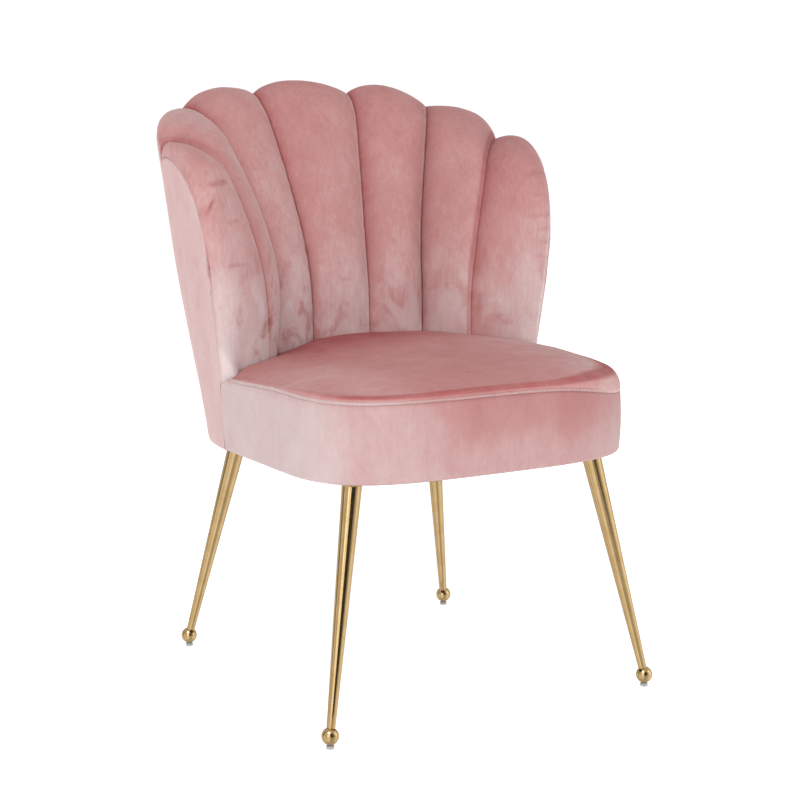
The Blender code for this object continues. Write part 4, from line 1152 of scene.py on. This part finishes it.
def add_plate(bm, end, sign):
    """The welded plate at the leg's top, with rounded corners and softened edges."""
    across, ahead = (size / 2 - PLATE_CORNER for size in PLATE_SIZE)
    low_z = PLATE_TOP_Z - PLATE
    rows = []
    for inset, z in ((PLATE_BEVEL, PLATE_TOP_Z), (0.0, PLATE_TOP_Z - PLATE_BEVEL), (0.0, low_z + PLATE_BEVEL),
                     (PLATE_BEVEL, low_z)):
        radius = PLATE_CORNER - inset
        row = []
        for quarter, (right, up) in enumerate(((1, 1), (-1, 1), (-1, -1), (1, -1))):
            for step in range(9):
                angle = quarter * pi / 2 + step * pi / 16
                row.append((right * across + radius * cos(angle) + sign * PLATE_CENTRE[end][0],
                            up * ahead + radius * sin(angle) + PLATE_CENTRE[end][1], z))
        rows.append(row)
    solid_rows(bm, rows)


def make_leg(end, side, sign, gold, steel, plastic):
    foot, axis = leg_line(end, sign)
    full = (PLATE_TOP_Z - BALL_Z) / axis.z
    start = sqrt(BALL_RADIUS ** 2 - LEG_END_RADIUS ** 2)
    rings = [leg_ring(foot, axis, start + reach, full, share)
             for share, reach in ((0.80, -0.0012), (0.96, -0.0002), (1.0, 0.0008))]
    rings += [leg_ring(foot, axis, start + 0.0008 + (full - 0.02 - start) * step / 15, full, 1.0)
              for step in range(1, 15)]
    top_z = PLATE_TOP_Z - PLATE + 0.0003
    rings.append([point + axis * ((top_z - point.z) / axis.z)
                  for point in leg_ring(foot, axis, full, full, 1.0)])
    bm = bmesh.new()
    solid_rows(bm, rings)
    weld = []
    for swell, lift in WELD_ROWS:
        weld.append([(point.x + (point.x - foot.x - axis.x * full) * swell / LEG_TOP_RADIUS,
                      point.y + (point.y - foot.y - axis.y * full) * swell / LEG_TOP_RADIUS,
                      top_z - 0.0003 - lift) for point in rings[-1]])
    solid_rows(bm, weld)
    add_plate(bm, end, sign)
    leg = place(f"leg_tube_{end}_{side}", bm, gold, 40)
    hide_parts(f"leg_{end}_{side}")
    bm = bmesh.new()
    bmesh.ops.create_uvsphere(bm, u_segments=64, v_segments=40, radius=BALL_RADIUS)
    bmesh.ops.transform(bm, matrix=Matrix.Translation(foot), verts=bm.verts)
    ball = place(f"ball_{end}_{side}", bm, gold)
    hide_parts(f"ball_foot_{end}_{side}")
    bm = bmesh.new()
    solid_rows(bm, [circle(foot.x, foot.y, z, radius, 48) for radius, z in GLIDE_PROFILE])
    glide = place(f"glide_pad_{end}_{side}", bm, plastic, 40, f"glide_{end}_{side}")
    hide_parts(f"glide_{end}_{side}")
    for number, (x, y) in enumerate(SCREW_SPOTS[end], 1):
        make_screw(f"screw_head_{end}_{side}_{number}", sign * x, y, steel)


# ------------------------------------------------------------------ the frame inside
def dress_frame(wood, board, web):
    """The hidden CAD pieces keep their shapes and get their materials."""
    for name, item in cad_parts.items():
        if name.startswith("webbing"):
            chosen = web
        elif name.endswith("board"):
            chosen = board
        elif name.startswith(("seat_rail", "corner_block", "back_", "arm_post")):
            chosen = wood
        else:
            continue
        for slot in item.material_slots:
            slot.material = chosen


# ------------------------------------------------------------------ stage
FLOOR_REACH = 14.0
FLOOR_GLOW = 0.62
FLOOR_WHITE = (0.92, 0.92, 0.92)
BLACK = (0.0, 0.0, 0.0)
WALL_AWAY = 13.5
WALL_HEIGHTS = (-0.0004, 16.0)
WALL_GLOW = 1.05
CARD_AWAY = 2.7
CARD_HEIGHTS = (-0.02, 2.6)
CARD_LOW_HEIGHTS = (-3.4, -0.02)
# Each card's start and end, in degrees round from straight in front, and its brightness.
CARDS = ((-180, -150, 0.45), (-150, -132, 0.65), (-132, -108, 0.22), (-108, -92, 0.80), (-92, -64, 0.62),
         (-64, -30, 1.30), (-30, 10, 0.02), (10, 26, 0.30), (26, 44, 0.75), (44, 76, 1.15), (76, 112, 0.62),
         (112, 146, 0.35), (146, 180, 0.45))
WORLD_STRENGTH = 0.55
# Each light's name, place, aim, size and power.
LIGHTS = (
    ("key", (-1.9, -1.4, 3.1), (0.0, 0.0, 0.45), (1.6, 1.6), 47),
    ("front", (-0.2, -3.2, 1.2), (0.0, 0.0, 0.5), (3.2, 1.6), 27),
    ("strip_right", (1.9, -1.7, 0.9), (0.2, -0.2, 0.2), (0.10, 1.9), 1.6),
    ("strip_left", (-2.2, -1.5, 0.7), (-0.2, -0.2, 0.2), (0.08, 1.4), 1.0),
)


def stage_piece(name, rows, colour, emission):
    bm = bmesh.new()
    skin(bm, rows)
    nodes = Nodes(f"{name}_paint")
    nodes.set(Base_Color=(*colour, 1.0), Roughness=0.95, Specular_IOR_Level=0.05,
              Emission_Color=(1.0, 1.0, 1.0, 1.0), Emission_Strength=emission)
    item = new_item(name, bm, nodes.material)
    return item


def make_stage():
    floor = [[(x, y, -0.0002) for x in (-FLOOR_REACH, FLOOR_REACH)] for y in (-FLOOR_REACH, FLOOR_REACH)]
    floor = stage_piece("floor", floor, FLOOR_WHITE, FLOOR_GLOW)
    floor.visible_glossy = False
    backdrop = [[(WALL_AWAY * cos(radians(10 * step)), WALL_AWAY * sin(radians(10 * step)), z)
                 for z in WALL_HEIGHTS] for step in range(37)]
    backdrop = stage_piece("backdrop", backdrop, BLACK, WALL_GLOW)
    backdrop.visible_diffuse = False
    backdrop.visible_glossy = False
    backdrop.visible_shadow = False
    # Grey and white cards that only the metal sees, as round a polished object in a studio.
    for number, (start, end, tone) in enumerate(CARDS, 1):
        add_card(f"card_{number}", start, end, CARD_HEIGHTS, tone)
        add_card(f"low_card_{number}", start, end, CARD_LOW_HEIGHTS, 0.48 + 0.5 * min(tone, 1.0))


def add_card(name, start, end, heights, tone):
    steps = max(round((end - start) / 10), 1)
    rows = []
    for step in range(steps + 1):
        angle = radians(start + (end - start) * step / steps)
        rows.append([(CARD_AWAY * sin(angle), -CARD_AWAY * cos(angle), z) for z in heights])
    card = stage_piece(name, rows, BLACK, tone)
    card.visible_camera = False
    card.visible_diffuse = False
    card.visible_shadow = False
    card.visible_transmission = False


def add_light(name, at, aim, size, power):
    data = bpy.data.lights.new(name, "AREA")
    data.shape = "RECTANGLE"
    data.size, data.size_y = size
    data.energy = power
    light = bpy.data.objects.new(name, data)
    light.location = at
    light.rotation_euler = (Vector(aim) - Vector(at)).to_track_quat("-Z", "Y").to_euler()
    bpy.context.scene.collection.objects.link(light)


def make_lighting():
    scene = bpy.context.scene
    scene.view_settings.view_transform = "Standard"
    world = bpy.data.worlds.new("studio")
    scene.world = world
    world.use_nodes = True
    background = world.node_tree.nodes["Background"]
    background.inputs["Color"].default_value = (1.0, 1.0, 1.0, 1.0)
    background.inputs["Strength"].default_value = WORLD_STRENGTH
    for light in LIGHTS:
        add_light(*light)


def main():
    make_camera()
    # The velvet copies are lighter and darker copies of one cloth: painted light.
    back_velvet = velvet("velvet_back", sheen=0.30, painted_light_gain=0.96)
    panel_velvet = velvet("velvet_panel", sheen=0.34, mottle=0.20, cloud=0.22, streak=0.08)
    band_velvet = velvet("velvet_band", sheen=0.28, mottle=0.20, cloud=0.20, streak=0.07, painted_light_gain=0.87)
    seat_velvet = velvet("velvet_seat", sheen=0.0, mottle=0.20, cloud=0.26, streak=0.22,
                         brushed=(0.10, 1.0, 1.0), turn=0.6, painted_light_gain=1.05)
    thread = grained("thread", (0.86, 0.70, 0.68), 0.8, 900.0)
    gold = gold_metal()
    steel = grained("zinc", (0.58, 0.58, 0.60), 0.38, 500.0, metallic=1.0)
    plastic = grained("glide_plastic", (0.45, 0.45, 0.44), 0.55, 700.0)
    make_channels(back_velvet)
    make_outer_panel(panel_velvet)
    make_band(band_velvet)
    make_seat_cushion(seat_velvet)
    make_lip(band_velvet, thread)
    make_dust_cover(woven("dust_cloth", (0.010, 0.010, 0.011), (0.035, 0.035, 0.037), 380.0), steel)
    for end in ("front", "rear"):
        for side, sign in (("left", -1), ("right", 1)):
            make_leg(end, side, sign, gold, steel, plastic)
    dress_frame(plywood(), grained("hardboard", (0.33, 0.21, 0.12), 0.8, 240.0, vary=0.35),
                woven("webbing", (0.035, 0.035, 0.04), (0.12, 0.12, 0.13), 220.0))
    make_stage()
    make_lighting()


main()
